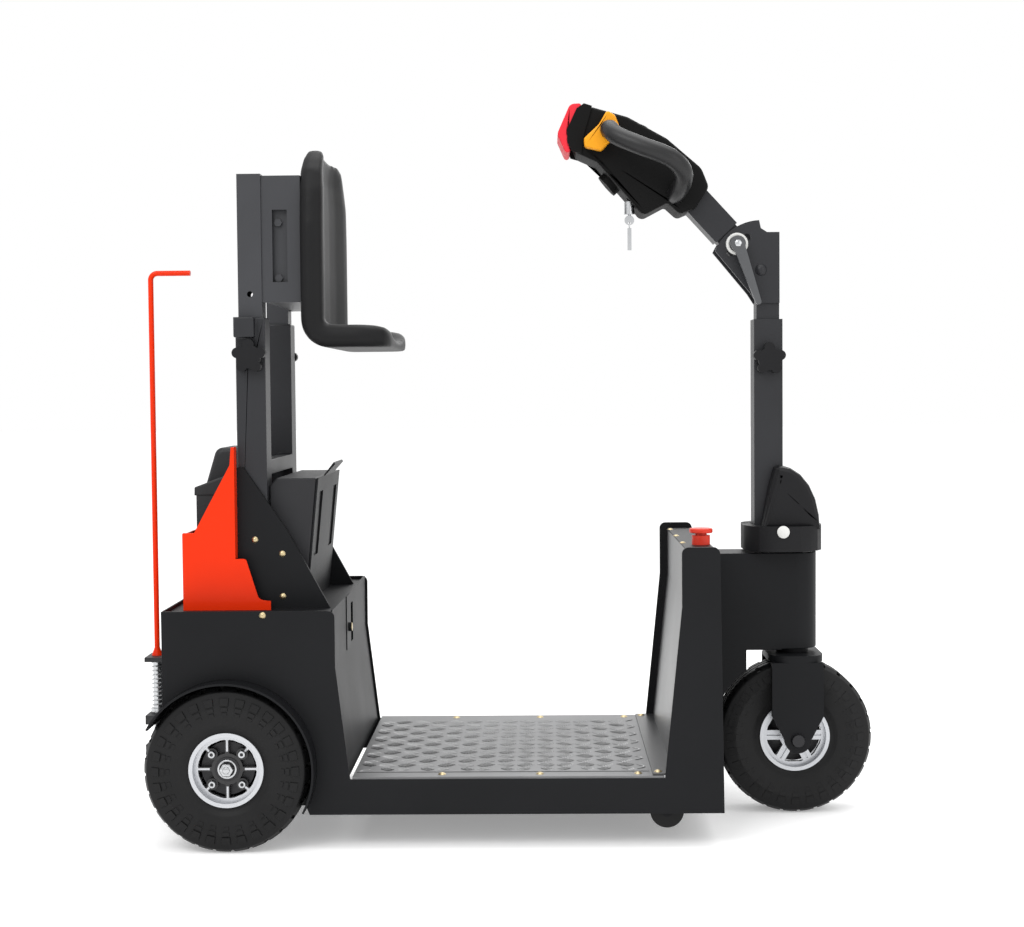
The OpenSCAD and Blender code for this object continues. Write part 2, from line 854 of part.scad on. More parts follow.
module hitch_bracket() {
    low = jaw_z;
    color(charcoal) difference() {
        union() {
            block(back_x - hitch_plate_t, back_x, -hitch_half_y - jaw_t, hitch_half_y + jaw_t,
                low - jaw_t, guide_z + guide_t + jaw_t);
            for (z = [[low, jaw_t], [low + jaw_t + jaw_gap, jaw_t], [guide_z, guide_t]])
                block(rear_x - rear_overhang, back_x, -hitch_half_y, hitch_half_y, z[0], z[0] + z[1]);
        }
        translate([hitch_x, 0, low - cut])
            cylinder(r = pin_r + gap, h = guide_z + guide_t - low + 2 * cut);
    }
}

module hitch_pin() {
    color(steel) translate([hitch_x, 0, 0]) {
        translate([0, 0, jaw_z]) cylinder(r = pin_r, h = guide_z + guide_t + gap - jaw_z);
        translate([0, 0, collar_z]) cylinder(r = collar_r, h = collar_t);
    }
}

// Compression spring: one wire, from the collar to the guide plate
module hitch_spring() {
    low = collar_z + collar_t + spring_wire_r;
    high = guide_z - spring_wire_r;
    steps = 8 * spring_turns;
    sides = 6;
    rise = (high - low) / spring_turns;
    ring = function (k) let (a = 360 * k / 8, c = [spring_r * cos(a), spring_r * sin(a), low + rise * k / 8])
        [for (i = [0:sides - 1]) let (b = 360 * i / sides)
            c + spring_wire_r * (cos(b) * [cos(a), sin(a), 0] + sin(b) * [0, 0, 1])];
    least = min([for (i = [0:sides - 1], j = [0:sides - 1]) norm(ring(0)[i] - ring(8)[j])]);
    echo(least_gap_between_turns = least);
    color(steel) translate([hitch_x, 0, 0])
        polyhedron([for (k = [0:steps]) each ring(k)], ring_faces(steps + 1, sides));
}

module pull_rod() {
    foot = guide_z + guide_t + gap;
    color(orange) translate([hitch_x, 0, 0]) {
        translate([0, 0, foot]) cylinder(r1 = cone_r, r2 = rod_r, h = cone_h);
        translate([0, 0, foot]) cylinder(r = rod_r, h = rod_top_z - rod_bend_r - foot);
        translate([rod_bend_r, 0, rod_top_z - rod_bend_r]) rotate([90, 0, 0]) rotate([0, 0, 90])
            rotate_extrude(angle = 90) translate([rod_bend_r, 0]) circle(r = rod_r);
        translate([rod_bend_r, 0, rod_top_z]) rotate([0, 90, 0])
            cylinder(r = rod_r, h = rod_reach - rod_bend_r);
    }
}

// Wheels. Each is made about the Y axis with its outer face towards -Y.

module tyre() {
    half = tyre_w / 2;
    bead = rim_half_w;
    shoulder = 13;
    groove = 5;
    depth = 4;
    lug_w = 7;
    lug_depth = 5;
    lug_len = half * 0.62;
    difference() {
        rotate([90, 0, 0]) rotate_extrude($fn = 96) polygon(rounded([
            [rim_r, -bead], [rim_r + 2 * rim_lip, -bead],
            [rim_r + 4 * shoulder / 3, -half + 2 * rim_lip, shoulder], [tyre_r - 2.4 * shoulder, -half, shoulder],
            [tyre_r - shoulder / 2, -half + groove, groove], [tyre_r, -half + shoulder + groove, groove],
            [tyre_r, -groove * 2], [tyre_r - depth, -groove * 2], [tyre_r - depth, -groove], [tyre_r, -groove],
            [tyre_r, groove], [tyre_r - depth, groove], [tyre_r - depth, groove * 2], [tyre_r, groove * 2],
            [tyre_r, half - shoulder - groove, groove], [tyre_r - shoulder / 2, half - groove, groove],
            [tyre_r - 2.4 * shoulder, half, shoulder], [rim_r + 4 * shoulder / 3, half - 2 * rim_lip, shoulder],
            [rim_r + 2 * rim_lip, bead], [rim_r, bead]]));
        for (i = [0:lugs - 1], s = [-1, 1]) rotate([0, 360 * (i + s / 4) / lugs, 0])
            translate([tyre_r - lug_depth, s * half - (s > 0 ? lug_len : 0), -lug_w / 2])
                cube([2 * lug_depth, lug_len, lug_w]);
    }
}

// Rim with a barrel, two lips and a disc cut by windows between the spokes
module rim(spokes, web_w, bosses) {
    inner = rim_r - rim_wall;
    step = 360 / spokes;
    win_out = inner - ring_w / 2;
    win_in = hub_disc_r + 2 * rim_wall;
    side = asin((web_w / 2) / win_in);
    far_side = asin((web_w / 2) / win_out);
    difference() {
        union() {
            rotate([90, 0, 0]) rotate_extrude($fn = 96) polygon([
                [inner, -rim_half_w - rim_lip], [rim_r + rim_lip, -rim_half_w - rim_lip],
                [rim_r + rim_lip, -rim_half_w], [rim_r, -rim_half_w], [rim_r, rim_half_w],
                [rim_r + rim_lip, rim_half_w], [rim_r + rim_lip, rim_half_w + rim_lip],
                [inner, rim_half_w + rim_lip]]);
            difference() {
                rod_y(inner + cut, -disc_y - disc_t, -disc_y, 0, 0);
                for (i = [0:spokes - 1]) across(-disc_y - disc_t - cut, -disc_y + cut)
                    rotate(step * i) polygon(rounded([
                        each [for (a = [side, step / 2, step - side]) [win_in * cos(a), win_in * sin(a)]],
                        each [for (a = [step - far_side, step * 0.7, step * 0.3, far_side])
                            [win_out * cos(a), win_out * sin(a)]]]));
            }
            for (i = [0:1:bosses - 1]) rotate([0, 360 * (i + 0.5) / bosses, 0])
                rod_y(hub_bolt_r + rim_wall, -disc_y - disc_t - cut, -disc_y - cut, hub_pcd / 2, 0);
        }
        rod_y(shaft_r, -disc_y - disc_t - cut, -disc_y + cut, 0, 0);
    }
}

module rear_rim() {
    color(steel) rim(8, spoke_w, hub_bolts);
}

// Drive hub: half shaft, flange behind the rim disc, bolts, and the nut in front
module rear_hub() {
    face = disc_y + disc_t;
    bolt_t = 5;
    nut_r = 12;
    nut_t = 9;
    washer = 2;
    color(black) {
        rod_y(hub_disc_r, -face - washer, -face, 0, 0);
        rod_y(flange_r, -disc_y, -disc_y + flange_t, 0, 0);
        rod_y(shaft_r, -face, wheel_y - shaft_in_y - gap, 0, 0);
    }
    color(zinc) {
        translate([0, -face - washer, 0]) rotate([90, 0, 0]) cylinder(r = nut_r, h = nut_t, $fn = 6);
        for (i = [0:hub_bolts - 1]) rotate([0, 360 * (i + 0.5) / hub_bolts, 0])
            translate([hub_pcd / 2, -face - cut, 0]) rotate([90, 0, 0])
                cylinder(r = hub_bolt_r, h = bolt_t, $fn = 6);
    }
}

// Puts a wheel part on the right end of the rear axle, or mirrored on the left end
module rear_place(side) {
    mirror([0, side > 0 ? 1 : 0, 0]) translate([rear_x, -wheel_y, axle_z]) children();
}

module front_tyre() {
    color(black) translate([front_x, 0, axle_z]) tyre();
}

module front_rim() {
    hub_half = crown_y - leg_t - 2 * gap;
    broad = 17;
    rib = 6;
    color(steel) translate([front_x, 0, axle_z]) difference() {
        union() {
            difference() {
                union() {
                    rim(6, broad, 0);
                    rod_y(hub_disc_r, -hub_half, hub_half, 0, 0);
                }
                for (i = [0:5]) rotate([0, 60 * i, 0])
                    translate([hub_disc_r + rib / 2, -disc_y - disc_t - cut, -rib / 4])
                        cube([rim_r - hub_disc_r - ring_w, cut + rib / 2, rib / 2]);
            }
        }
        rod_y(axle_r + run, -hub_half - cut, hub_half + cut, 0, 0);
    }
}

// Fork: stem, crown and two legs, with the axle hole through the leg ends
module fork() {
    stem_top = column_foot_z + foot_t;
    nipple_r = 4;
    color(charcoal) difference() {
        union() {
            translate([front_x, 0, crown_z + crown_t]) cylinder(r = stem_r, h = stem_top - crown_z - crown_t);
            translate([front_x, 0, crown_z + crown_t])
                cylinder(r = stem_r + 2 * nipple_r, h = head_low_z - crown_z - crown_t - gap);
            translate([front_x, 0, crown_z]) linear_extrude(crown_t) polygon(rounded([
                [-crown_x, -crown_y, crown_r], [crown_x, -crown_y, crown_r],
                [crown_x, crown_y, crown_r], [-crown_x, crown_y, crown_r]]));
            both() across(crown_y - leg_t, crown_y) union() {
                intersection() {
                    polygon([[front_x - leg_x, crown_z + cut], [front_x - leg_x, leg_taper_z],
                        [front_x - leg_end_r, axle_z], [front_x + leg_end_r, axle_z],
                        [front_x + leg_x, leg_taper_z], [front_x + leg_x, crown_z + cut]]);
                    translate([front_x - leg_x, axle_z]) square([2 * leg_x, crown_z - axle_z]);
                }
                translate([front_x, axle_z]) circle(r = leg_end_r);
            }
        }
        rod_y(axle_r, -crown_y - cut, crown_y + cut, front_x, axle_z);
    }
}

module front_axle() {
    nut_t = 7;
    color(zinc) {
        rod_y(axle_r, -crown_y, crown_y, front_x, axle_z);
        translate([front_x, -crown_y, axle_z]) rotate([90, 0, 0])
            cylinder(r1 = axle_head_r, r2 = axle_head_r - 2, h = axle_head_h);
        translate([front_x, crown_y, axle_z]) rotate([-90, 0, 0])
            cylinder(r = axle_head_r, h = nut_t, $fn = 6);
    }
}

// Moulded shroud over the steering head: a band, and a hood in front of the column
module shroud_outline(inset) {
    rx = shroud_rx - inset;
    ry = shroud_y - inset;
    translate([shroud_x, 0]) polygon(rounded([[-rx, -ry, ry * 0.7], [rx, -ry, ry * 0.85],
        [rx, ry, ry * 0.85], [-rx, ry, ry * 0.7]]));
}

module steering_shroud() {
    flare = 8;
    top = shroud_z + shroud_band;
    hood_y = 58;
    nose = shroud_x + shroud_rx - flare;
    cheek = 16;
    color(black) difference() {
        union() {
            translate([0, 0, shroud_z]) linear_extrude(shroud_band) shroud_outline(0);
            pillow(concat(
                [[column_x - cheek, top - flare], [nose, top - flare]],
                [for (a = [10:16:90]) [column_x + cheek + (nose - column_x - cheek) * cos(a),
                    top + (shroud_top_z - top) * sin(a)]],
                [[column_x + cheek / 2, shroud_top_z - flare / 2], [column_x, shroud_top_z - 4 * flare]]),
                hood_y, 2 * flare);
        }
        translate([column_x, 0, shroud_z - cut]) linear_extrude(shroud_top_z)
            square([column_w + 2 * gap, column_w + 2 * gap], center = true);
        block(column_x - 2 * column_w, column_x, -column_w / 2 - gap, column_w / 2 + gap,
            top - cut, shroud_top_z + cut);
        translate([0, 0, shroud_z - cut]) linear_extrude(shroud_band - shroud_wall + cut)
            shroud_outline(shroud_wall);
    }
    color("white") both() translate([front_x - 26, shroud_y, shroud_z + 35]) rotate([-90, 0, 0])
        cylinder(r = cap_r, h = cap_t);
}

// Outer column, with the foot that clamps it on the stem
module column_outer() {
    nut_r = 22;
    color(charcoal) difference() {
        union() {
            translate([column_x, 0, 0]) square_tube(column_w, column_wall, column_foot_z + foot_t, column_top_z);
            block(column_x - column_w / 2, front_x + stem_r + foot_t / 2, -stem_r - foot_t / 2,
                stem_r + foot_t / 2, column_foot_z, column_foot_z + foot_t);
        }
        translate([front_x, 0, column_foot_z - cut]) cylinder(r = stem_r, h = foot_t + 2 * cut);
        rod_y(stud_r + gap, -column_w, 0, column_x, column_knob_z);
    }
    color(zinc) translate([front_x, 0, column_foot_z + foot_t])
        cylinder(r = nut_r, h = foot_t, $fn = 6);
}

// Inner column: a square tube whose back and sides are cut away below the tilt bolt
module column_inner() {
    color(charcoal) translate([column_x, 0, 0]) {
        square_tube(inner_w, inner_wall, inner_foot_z, inner_cut_z);
        block(inner_w / 2 - inner_wall, inner_w / 2, -inner_w / 2, inner_w / 2, inner_cut_z, inner_top_z);
    }
}

// Two quadrant plates on the inner column, with the tilt bolt through them
module tilt_plates() {
    pivot = [tilt_x, tilt_z];
    edge = column_x + inner_w / 2;
    heel = [tilt_x - 19, tilt_z - 40];
    rest = 180 - tilt_angle;
    color(charcoal) both() across(inner_w / 2, inner_w / 2 + tilt_plate_t) difference() {
        polygon(concat(arc(pivot, sector_r, sector_from, sector_to, 12), [heel,
            [column_x - inner_w / 2, tilt_z - 58], [edge, tilt_z - 58], [edge, inner_top_z],
            [tilt_x + 11, inner_top_z], [tilt_x, inner_top_z + 7]]));
        translate(pivot) circle(r = tilt_bolt_r);
        for (a = [rest - tilt_up, rest + tilt_down])
            translate(pivot + slot_r * [cos(a), sin(a)]) circle(r = slot_half_r);
        polygon(concat(arc(pivot, slot_r - slot_half_r, rest - tilt_up, rest + tilt_down, 10),
            arc(pivot, slot_r + slot_half_r, rest + tilt_down, rest - tilt_up, 10)));
    }
    color(zinc) rod_y(tilt_bolt_r, -inner_w / 2 - tilt_plate_t, inner_w / 2 + tilt_plate_t, tilt_x, tilt_z);
    color(black) both() translate([tilt_x, inner_w / 2 + tilt_plate_t, tilt_z]) rotate([-90, 0, 0])
        dome(tilt_head_r, tilt_head_h);
}

// Star knob with its stud, made about the Y axis on a face at y = 0, towards -Y
module star_knob() {
    lobes = 5;
    color(black) {
        rod_y(knob_neck_r, -knob_neck_t - gap, -gap, 0, 0);
        difference() {
            across(-knob_neck_t - gap - knob_t, -knob_neck_t - gap) union() {
                circle(r = knob_core_r);
                for (i = [0:lobes - 1]) rotate(360 * i / lobes + 18) translate([knob_lobe_at, 0])
                    circle(r = knob_lobe_r);
            }
        }
    }
    color(zinc) rod_y(stud_r, -gap, sleeve_wall, 0, 0);
}

module column_knob() {
    translate([column_x, -column_w / 2, column_knob_z]) star_knob();
}

module seat_knob() {
    translate([mast_x, -sleeve_out_y, knob_z]) star_knob();
}

// Places along the tiller arm: s from the tilt bolt, h square to it, upwards
function on_arm(s, h) = [tilt_x - s * cos(tilt_angle) + h * sin(tilt_angle),
    tilt_z + s * sin(tilt_angle) + h * cos(tilt_angle)];

module tiller_arm() {
    half = arm_w / 2;
    tongue = inner_w / 2 - tongue_gap;
    color(charcoal) difference() {
        union() {
            across(-tongue, tongue) union() {
                polygon([on_arm(0, -tongue_h / 2), on_arm(0, tongue_h / 2),
                    on_arm(arm_start + cut, tongue_h / 2), on_arm(arm_start + cut, -tongue_h / 2)]);
                translate([tilt_x, tilt_z]) circle(r = tongue_h / 2);
            }
            across(-half, half) polygon([on_arm(arm_start, -half), on_arm(arm_start, half),
                on_arm(arm_end, half), on_arm(arm_end, -half)]);
        }
        rod_y(tilt_bolt_r + run, -half, half, tilt_x, tilt_z);
        rod_y(tilt_bolt_r, -half, half, on_arm(slot_r, 0).x, on_arm(slot_r, 0).y);
        across(-half + arm_tube_wall, half - arm_tube_wall) polygon([
            on_arm(arm_start + arm_tube_wall, -half + arm_tube_wall),
            on_arm(arm_start + arm_tube_wall, half - arm_tube_wall),
            on_arm(arm_end + cut, half - arm_tube_wall), on_arm(arm_end + cut, -half + arm_tube_wall)]);
    }
}

// Clamp lever and its bolt, on the right, with a nylon washer each side
module clamp_lever() {
    c = on_arm(slot_r, 0);
    face = inner_w / 2 + tilt_plate_t + gap;
    lean = 19;              // degrees of the lever from straight down
    tip = [c.x + lever_len * sin(lean), c.y - lever_len * cos(lean)];
    color("gainsboro") rod_y(washer_r, -face - washer_t, -face, c.x, c.y);
    color(black) {
        rod_y(washer_r / 2 + 2, -face - washer_t - 4, -face - washer_t, c.x, c.y);
        rod_y(lever_hub_r, -face - lever_hub_h - 4, -face - washer_t - 4, c.x, c.y);
        across(-face - lever_hub_h - 4, -face - lever_hub_h - 4 + lever_t) union() {
            polygon([c + lever_hub_r * [cos(lean), sin(lean)] * 0.8, c - lever_hub_r * [cos(lean), sin(lean)] * 0.8,
                tip - lever_r * [cos(lean), sin(lean)], tip + lever_r * [cos(lean), sin(lean)]]);
            translate(tip) circle(r = lever_r);
        }
    }
    color(steel) {
        rod_y(tilt_bolt_r - gap, -face, face + washer_t, c.x, c.y);
        rod_y(washer_r / 2, face, face + washer_t, c.x, c.y);
        translate([c.x, face + washer_t, c.y]) rotate([-90, 0, 0]) cylinder(r = washer_r / 2, h = lever_r, $fn = 6);
    }
}

// Tiller head, as distances from the front axle and heights over the ground
head_outline = [
    [front_x - 379, 1163, 9], [front_x - 344, 1147, 6], [front_x - 284, 1078, 8],
    [front_x - 264, 1053, 12], [front_x - 222, 1075, 6],
    [front_x - 200, 1055, 10], [front_x - 173, 1066, 10], [front_x - 149, 1102, 14],
    [front_x - 162, 1135, 30], [front_x - 222, 1187, 40], [front_x - 290, 1225, 40],
    [front_x - 356, 1244, 12], [front_x - 375, 1226, 12], [front_x - 386, 1203, 12],
    [front_x - 387, 1184, 12]];

module tiller_head() {
    half = arm_w / 2 + gap;
    slot = 14;
    color(black) difference() {
        union() {
            pillow(rounded(head_outline), head_half_w, head_round);
            translate([boss_x, 0, boss_z]) rotate([0, 180 + boss_lean, 0]) translate([0, 0, -slot])
                cylinder(r = boss_r, h = boss_h + slot);
        }
        across(-half, half) polygon([on_arm(arm_start, -half), on_arm(arm_start, half),
            on_arm(arm_end + gap, half), on_arm(arm_end + gap, -half)]);
        rod_y(grip_shaft_r + rocker_wall + gap, -head_half_w - cut, head_half_w + cut, rocker_x, rocker_z);
        translate([key_x, key_y, key_z + cut]) cylinder(r = key_r + run, h = 2 * slot);
        translate([horn_x, 0, horn_z]) rotate([0, horn_tip, 0]) translate([0, 0, -horn_stem - horn_travel])
            cylinder(r = horn_r + gap, h = 2 * horn_stem + horn_travel);
        translate([belly_x, 0, belly_z]) rotate([0, 90 - belly_lean, 0])
            cylinder(r = belly_stem_r + gap, h = belly_stem + 3 * belly_travel);
    }
}

module horn_button() {
    stand = 4.5;
    color(black) translate([horn_x, 0, horn_z]) rotate([0, horn_tip, 0]) translate([0, 0, gap - horn_stem])
        cylinder(r = horn_r, h = horn_stem + stand);
}

// Loop grips on both sides of the head, from the cross shaft down to the head's side
grip_path = [[rocker_x, 77, rocker_z], [rocker_x, 90, rocker_z], [front_x - 312, 108, 1183],
    [front_x - 272, 125, 1163], [front_x - 223, 128, 1143], [front_x - 200, 112, 1122],
    [front_x - 199, 84, 1104], [front_x - 206, 60, 1092], [front_x - 208, 44, 1088]];

module hand_grips() {
    color(black) both() difference() {
        sweep(grip_path, grip_r, [0.35, 0, 1]);
        block(front_x - grip_span, front_x, -head_half_w, head_half_w, key_z - grip_r, horn_z);
    }
    color(steel) rod_y(grip_shaft_r, -grip_path[0].y - cut, grip_path[0].y + cut, rocker_x, rocker_z);
}

// Red belly button across the front of the head
module belly_button() {
    color(red) {
        pillow(rounded([[front_x - 413, 1196, 12], [front_x - 397, 1160, 5], [front_x - 390, 1167, 3],
            [front_x - 394.5, 1182, 8], [front_x - 394.5, 1202, 8], [front_x - 377, 1238, 3],
            [front_x - 361, 1249, 4], [front_x - 390, 1248, 12]]), belly_half_w, 2.5);
        translate([belly_x, 0, belly_z]) rotate([0, 90 - belly_lean, 0])
            cylinder(r = belly_stem_r, h = belly_stem);
    }
}

// Thumb rocker: a wing on each side of the head, joined by a sleeve that turns on the grip shaft
module thumb_rocker() {
    wing = rounded([[rocker_x - 43, rocker_z - 27, 6], [rocker_x - 14, rocker_z - 34, 6],
        [rocker_x + 4, rocker_z - 15, 10], [rocker_x + 19, rocker_z + 4, 7],
        [rocker_x + 10, rocker_z + 27, 5], [rocker_x - 4, rocker_z + 36, 5],
        [rocker_x - 18, rocker_z + 12, 10], [rocker_x - 44, rocker_z - 12, 6]]);
    color(yellow) difference() {
        union() {
            both() translate([0, rocker_in_y + rocker_t / 2, 0]) pillow(wing, rocker_t / 2, 4);
            rod_y(grip_shaft_r + rocker_wall, -rocker_in_y - rocker_wall, rocker_in_y + rocker_wall,
                rocker_x, rocker_z);
        }
        rod_y(grip_shaft_r + run, -rocker_in_y - 2 * rocker_t, rocker_in_y + 2 * rocker_t,
            rocker_x, rocker_z);
    }
}

module key_switch() {
    bore = 2.5;
    length = 22;
    color(steel) translate([key_x, key_y, key_z]) difference() {
        cylinder(r = key_r, h = length);
        translate([0, 0, -cut]) cylinder(r = bore + gap, h = length - cut);
    }
}

// Key in the switch, with a spare on its ring
module ignition_key() {
    bow_r = 8.5;
    bow_t = 2;
    shank_r = 2.5;
    shank = 20;
    spare_w = 7;
    spare_h = 38;
    ring_r = 5;
    ring_wire = 0.9;
    color(steel) translate([key_x, key_y, key_z]) {
        translate([0, 0, -shank_r]) cylinder(r = shank_r, h = shank);
        difference() {
            rod_y(bow_r, -bow_t / 2, bow_t / 2, 0, -bow_r - shank_r + cut);
            rod_y(shank_r, -bow_t, bow_t, 0, -bow_r - bow_r / 2 - shank_r);
        }
        translate([0, 0, -2 * bow_r - shank_r - ring_r + 3 * bow_t]) rotate([0, 90, 0])
            rotate_extrude() translate([ring_r, 0]) circle(r = ring_wire);
        block(-spare_w / 2, spare_w / 2, -bow_t / 2, bow_t / 2,
            -2 * bow_r - shank_r - 2 * ring_r + 2 * bow_t - spare_h + cut, -2 * bow_r - shank_r - ring_r + cut);
    }
}

// Seat

module seat_posts() {
    color(charcoal) both() translate([mast_x, post_y, 0]) difference() {
        square_tube(post_w, post_wall, post_foot_z, post_top_z);
        for (i = [-3:0]) rod_y(index_r, -post_w, post_w, 0, index_z + index_pitch * i);
    }
}

// Slotted bracket between the posts and the seat back, with its clamp bolts
module seat_bracket() {
    back = mast_x + post_w / 2;
    slot_x = bracket_front_x - slot_w * 1.4;
    color(charcoal) {
        both() across(bracket_y, bracket_y + bracket_t) difference() {
            polygon([[back, bracket_z], [bracket_front_x, bracket_z],
                [bracket_front_x, bracket_z + bracket_h], [back, bracket_z + bracket_h]]);
            translate([slot_x - slot_w / 2, slot_z]) square([slot_w, slot_h]);
        }
        block(bracket_front_x - bracket_t, bracket_front_x, -bracket_y, bracket_y,
            bracket_z, bracket_z + bracket_h);
        block(back + bracket_t, bracket_front_x - bracket_t, -bracket_y, bracket_y,
            bracket_z, bracket_z + bracket_t);
        both() across(bracket_y - 2 * bracket_t, bracket_y - bracket_t) polygon([
            [slot_x - slot_w, slot_z - slot_w / 2], [bracket_front_x - bracket_t, slot_z - slot_w / 2],
            [bracket_front_x - bracket_t, slot_z + slot_h + slot_w / 2],
            [slot_x - slot_w, slot_z + slot_h + slot_w / 2]]);
    }
    color(zinc) both() for (z = [slot_z + bolt_head_r, slot_z + slot_h - 3 * bolt_head_r])
        translate([slot_x - bolt_head_r / 2, bracket_y - bracket_t, z]) rotate([-90, 0, 0])
            cylinder(r = bolt_head_r, h = bracket_t, $fn = 6);
}

// Moulded bucket: one skin that runs down the back and forward along the pan
bucket_shares = [1, 0.985, 0.94, 0.87, 0.79, 0.7, 0.6, 0.45, 0.22, 0];
depth_shares = [0.3, 0.72, 0.96, 1, 0.9, 0.66, 0.38, 0.12, 0, 0];

function seat_depth(y, bolster) = seat_shell_t + (bolster - seat_shell_t) * y;

function seat_ring(x, z, a, half, bolster) =
    let (n = [cos(a), sin(a)], k = len(bucket_shares))
    let (side = [for (i = [0:k - 1]) [half * bucket_shares[i], seat_depth(depth_shares[i], bolster)
        * (i == 0 ? 0.6 : 1)]])
    let (ring = concat([for (p = side) [p.x, p.y]], [for (i = [k - 2:-1:0]) [-side[i].x, side[i].y]],
        [[-half * 0.94, 0], [-half * 0.5, 0], [half * 0.5, 0], [half * 0.94, 0]]))
    [for (p = ring) [x + n.x * p.y, -p.x, z + n.y * p.y]];

module seat_shell() {
    bend_c = [seat_back_x + seat_bend_r, seat_low_z + seat_bend_r];
    back_len = seat_top_z - bend_c.y;
    pan_len = seat_front_x - bend_c.x;
    crown_shares = [[0, 0.62, 0.3], [0.02, 0.7, 0.55], [0.06, 0.78, 0.75], [0.13, 0.88, 0.9],
        [0.25, 0.96, 1], [0.45, 1, 1], [0.7, 1, 1], [1, 1, 1]];
    toe_shares = [[0.25, 1, 0.95], [0.5, 1, 0.95], [0.75, 0.98, 0.9], [0.9, 0.93, 0.75],
        [0.97, 0.86, 0.55], [1, 0.78, 0.3]];
    rings = concat(
        [for (c = crown_shares) seat_ring(seat_back_x + (c[0] < 0.1 ? (0.1 - c[0]) * seat_bolster * 2 : 0),
            seat_top_z - back_len * c[0], 0, seat_half_w * c[1], seat_shell_t + (seat_bolster - seat_shell_t) * c[2])],
        [for (i = [1:seat_steps]) let (a = 180 + 90 * i / seat_steps)
            seat_ring(bend_c.x + seat_bend_r * cos(a), bend_c.y + seat_bend_r * sin(a), a - 180,
                seat_half_w, seat_bolster)],
        [for (c = toe_shares) seat_ring(bend_c.x + pan_len * c[0], seat_low_z, 90,
            seat_half_w * c[1], seat_shell_t + (seat_bolster - seat_shell_t) * c[2])]);
    m = len(rings[0]);
    color(black) polyhedron([for (r = rings) each r], ring_faces(len(rings), m));
}

side_plate();  // side_plate_left
mirror([0, 1, 0]) side_plate();  // side_plate_right
color(charcoal) both() mudguard();  // mudguards
deck_frame();
tread_plate();
deck_bolts();
rear_panel();
battery_bay_panel();
leg_shield();
front_box_cover();
frame_bolts();
steering_head();
head_bearings();
emergency_base();
color(charcoal) both() castor_bracket();  // castor_brackets
seat_mast();
color(charcoal) both() gusset();  // gussets
rear_cover();
battery_case();
battery_lid();
controller_box();
column_cover();
transaxle();
drive_motor();
hitch_bracket();
emergency_knob();
color(black) castor();  // castor_left
color(black) mirror([0, 1, 0]) castor();  // castor_right
color(black) rear_place(1) tyre();  // rear_tyre_left
rear_place(1) rear_rim();  // rear_rim_left
rear_place(1) rear_hub();  // rear_hub_left
color(black) rear_place(-1) tyre();  // rear_tyre_right
rear_place(-1) rear_rim();  // rear_rim_right
rear_place(-1) rear_hub();  // rear_hub_right
pull_rod();
hitch_pin();
hitch_spring();
fork();
front_axle();
steering_shroud();
column_outer();
front_tyre();
front_rim();
column_inner();
tilt_plates();
column_knob();
tiller_arm();
tiller_head();
hand_grips();
clamp_lever();
belly_button();
thumb_rocker();
key_switch();
ignition_key();
horn_button();
seat_posts();
seat_bracket();
seat_shell();
mirror([0, 1, 0]) seat_knob();  // seat_knob_left
seat_knob();  // seat_knob_right
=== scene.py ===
import math

import bmesh
import bpy
from mathutils import Matrix, Vector


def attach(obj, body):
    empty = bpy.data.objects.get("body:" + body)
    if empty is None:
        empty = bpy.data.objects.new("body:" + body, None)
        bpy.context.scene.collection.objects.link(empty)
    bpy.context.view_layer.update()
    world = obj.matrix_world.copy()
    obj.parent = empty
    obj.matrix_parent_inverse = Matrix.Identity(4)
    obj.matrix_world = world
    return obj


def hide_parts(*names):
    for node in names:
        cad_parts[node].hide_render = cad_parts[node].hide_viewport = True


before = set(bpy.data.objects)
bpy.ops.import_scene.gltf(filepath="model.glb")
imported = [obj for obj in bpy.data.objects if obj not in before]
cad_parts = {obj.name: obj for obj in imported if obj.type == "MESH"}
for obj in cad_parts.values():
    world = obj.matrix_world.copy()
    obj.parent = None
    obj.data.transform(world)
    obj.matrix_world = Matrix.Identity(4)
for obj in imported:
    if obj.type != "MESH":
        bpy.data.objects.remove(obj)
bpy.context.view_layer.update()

# Places in metres, in the frame of the part
REAR_X = -0.454
FRONT_X = 0.509
AXLE_Z = 0.136
DECK_Z = 0.119
DECK_X = (-0.2505, 0.262)
DECK_Y = 0.259
FLANGE_X = 0.243
FIELD_X = (-0.247, 0.2395)
FIELD_Y = 0.226
FIELD_RISE = 0.0008
WHEEL_Y = 0.25
LUGS = 28                   # tread blocks round each shoulder of a tyre
SHOULDER_R = 0.105
TYRE_HALF_W = 0.0425        # half width of a tyre at SHOULDER_R
TREAD_SLOPE = 0.204
WALL_SLOPE = 0.235
FRONT_RELIEF = 0.45         # the front tyre's blocks stand this share as high
SIDES = ((1, "left"), (-1, "right"))
SPOKES = 8
SPOKE_HALF_W = 0.0016
SPOKE_START_R = 0.029
BARREL_R = 0.0478           # the rear rim is bright outside this radius
BLACK = (0.010, 0.010, 0.011)
SILVER = (0.50, 0.51, 0.53)
CAMERA = (0.0655, -2.99, 0.752)
CAMERA_YAW = 0.0179
CAMERA_PITCH = 0.0436
CAMERA_ROLL = 0.0087
LENS = 59.06
SENSOR = 36.0


# Materials

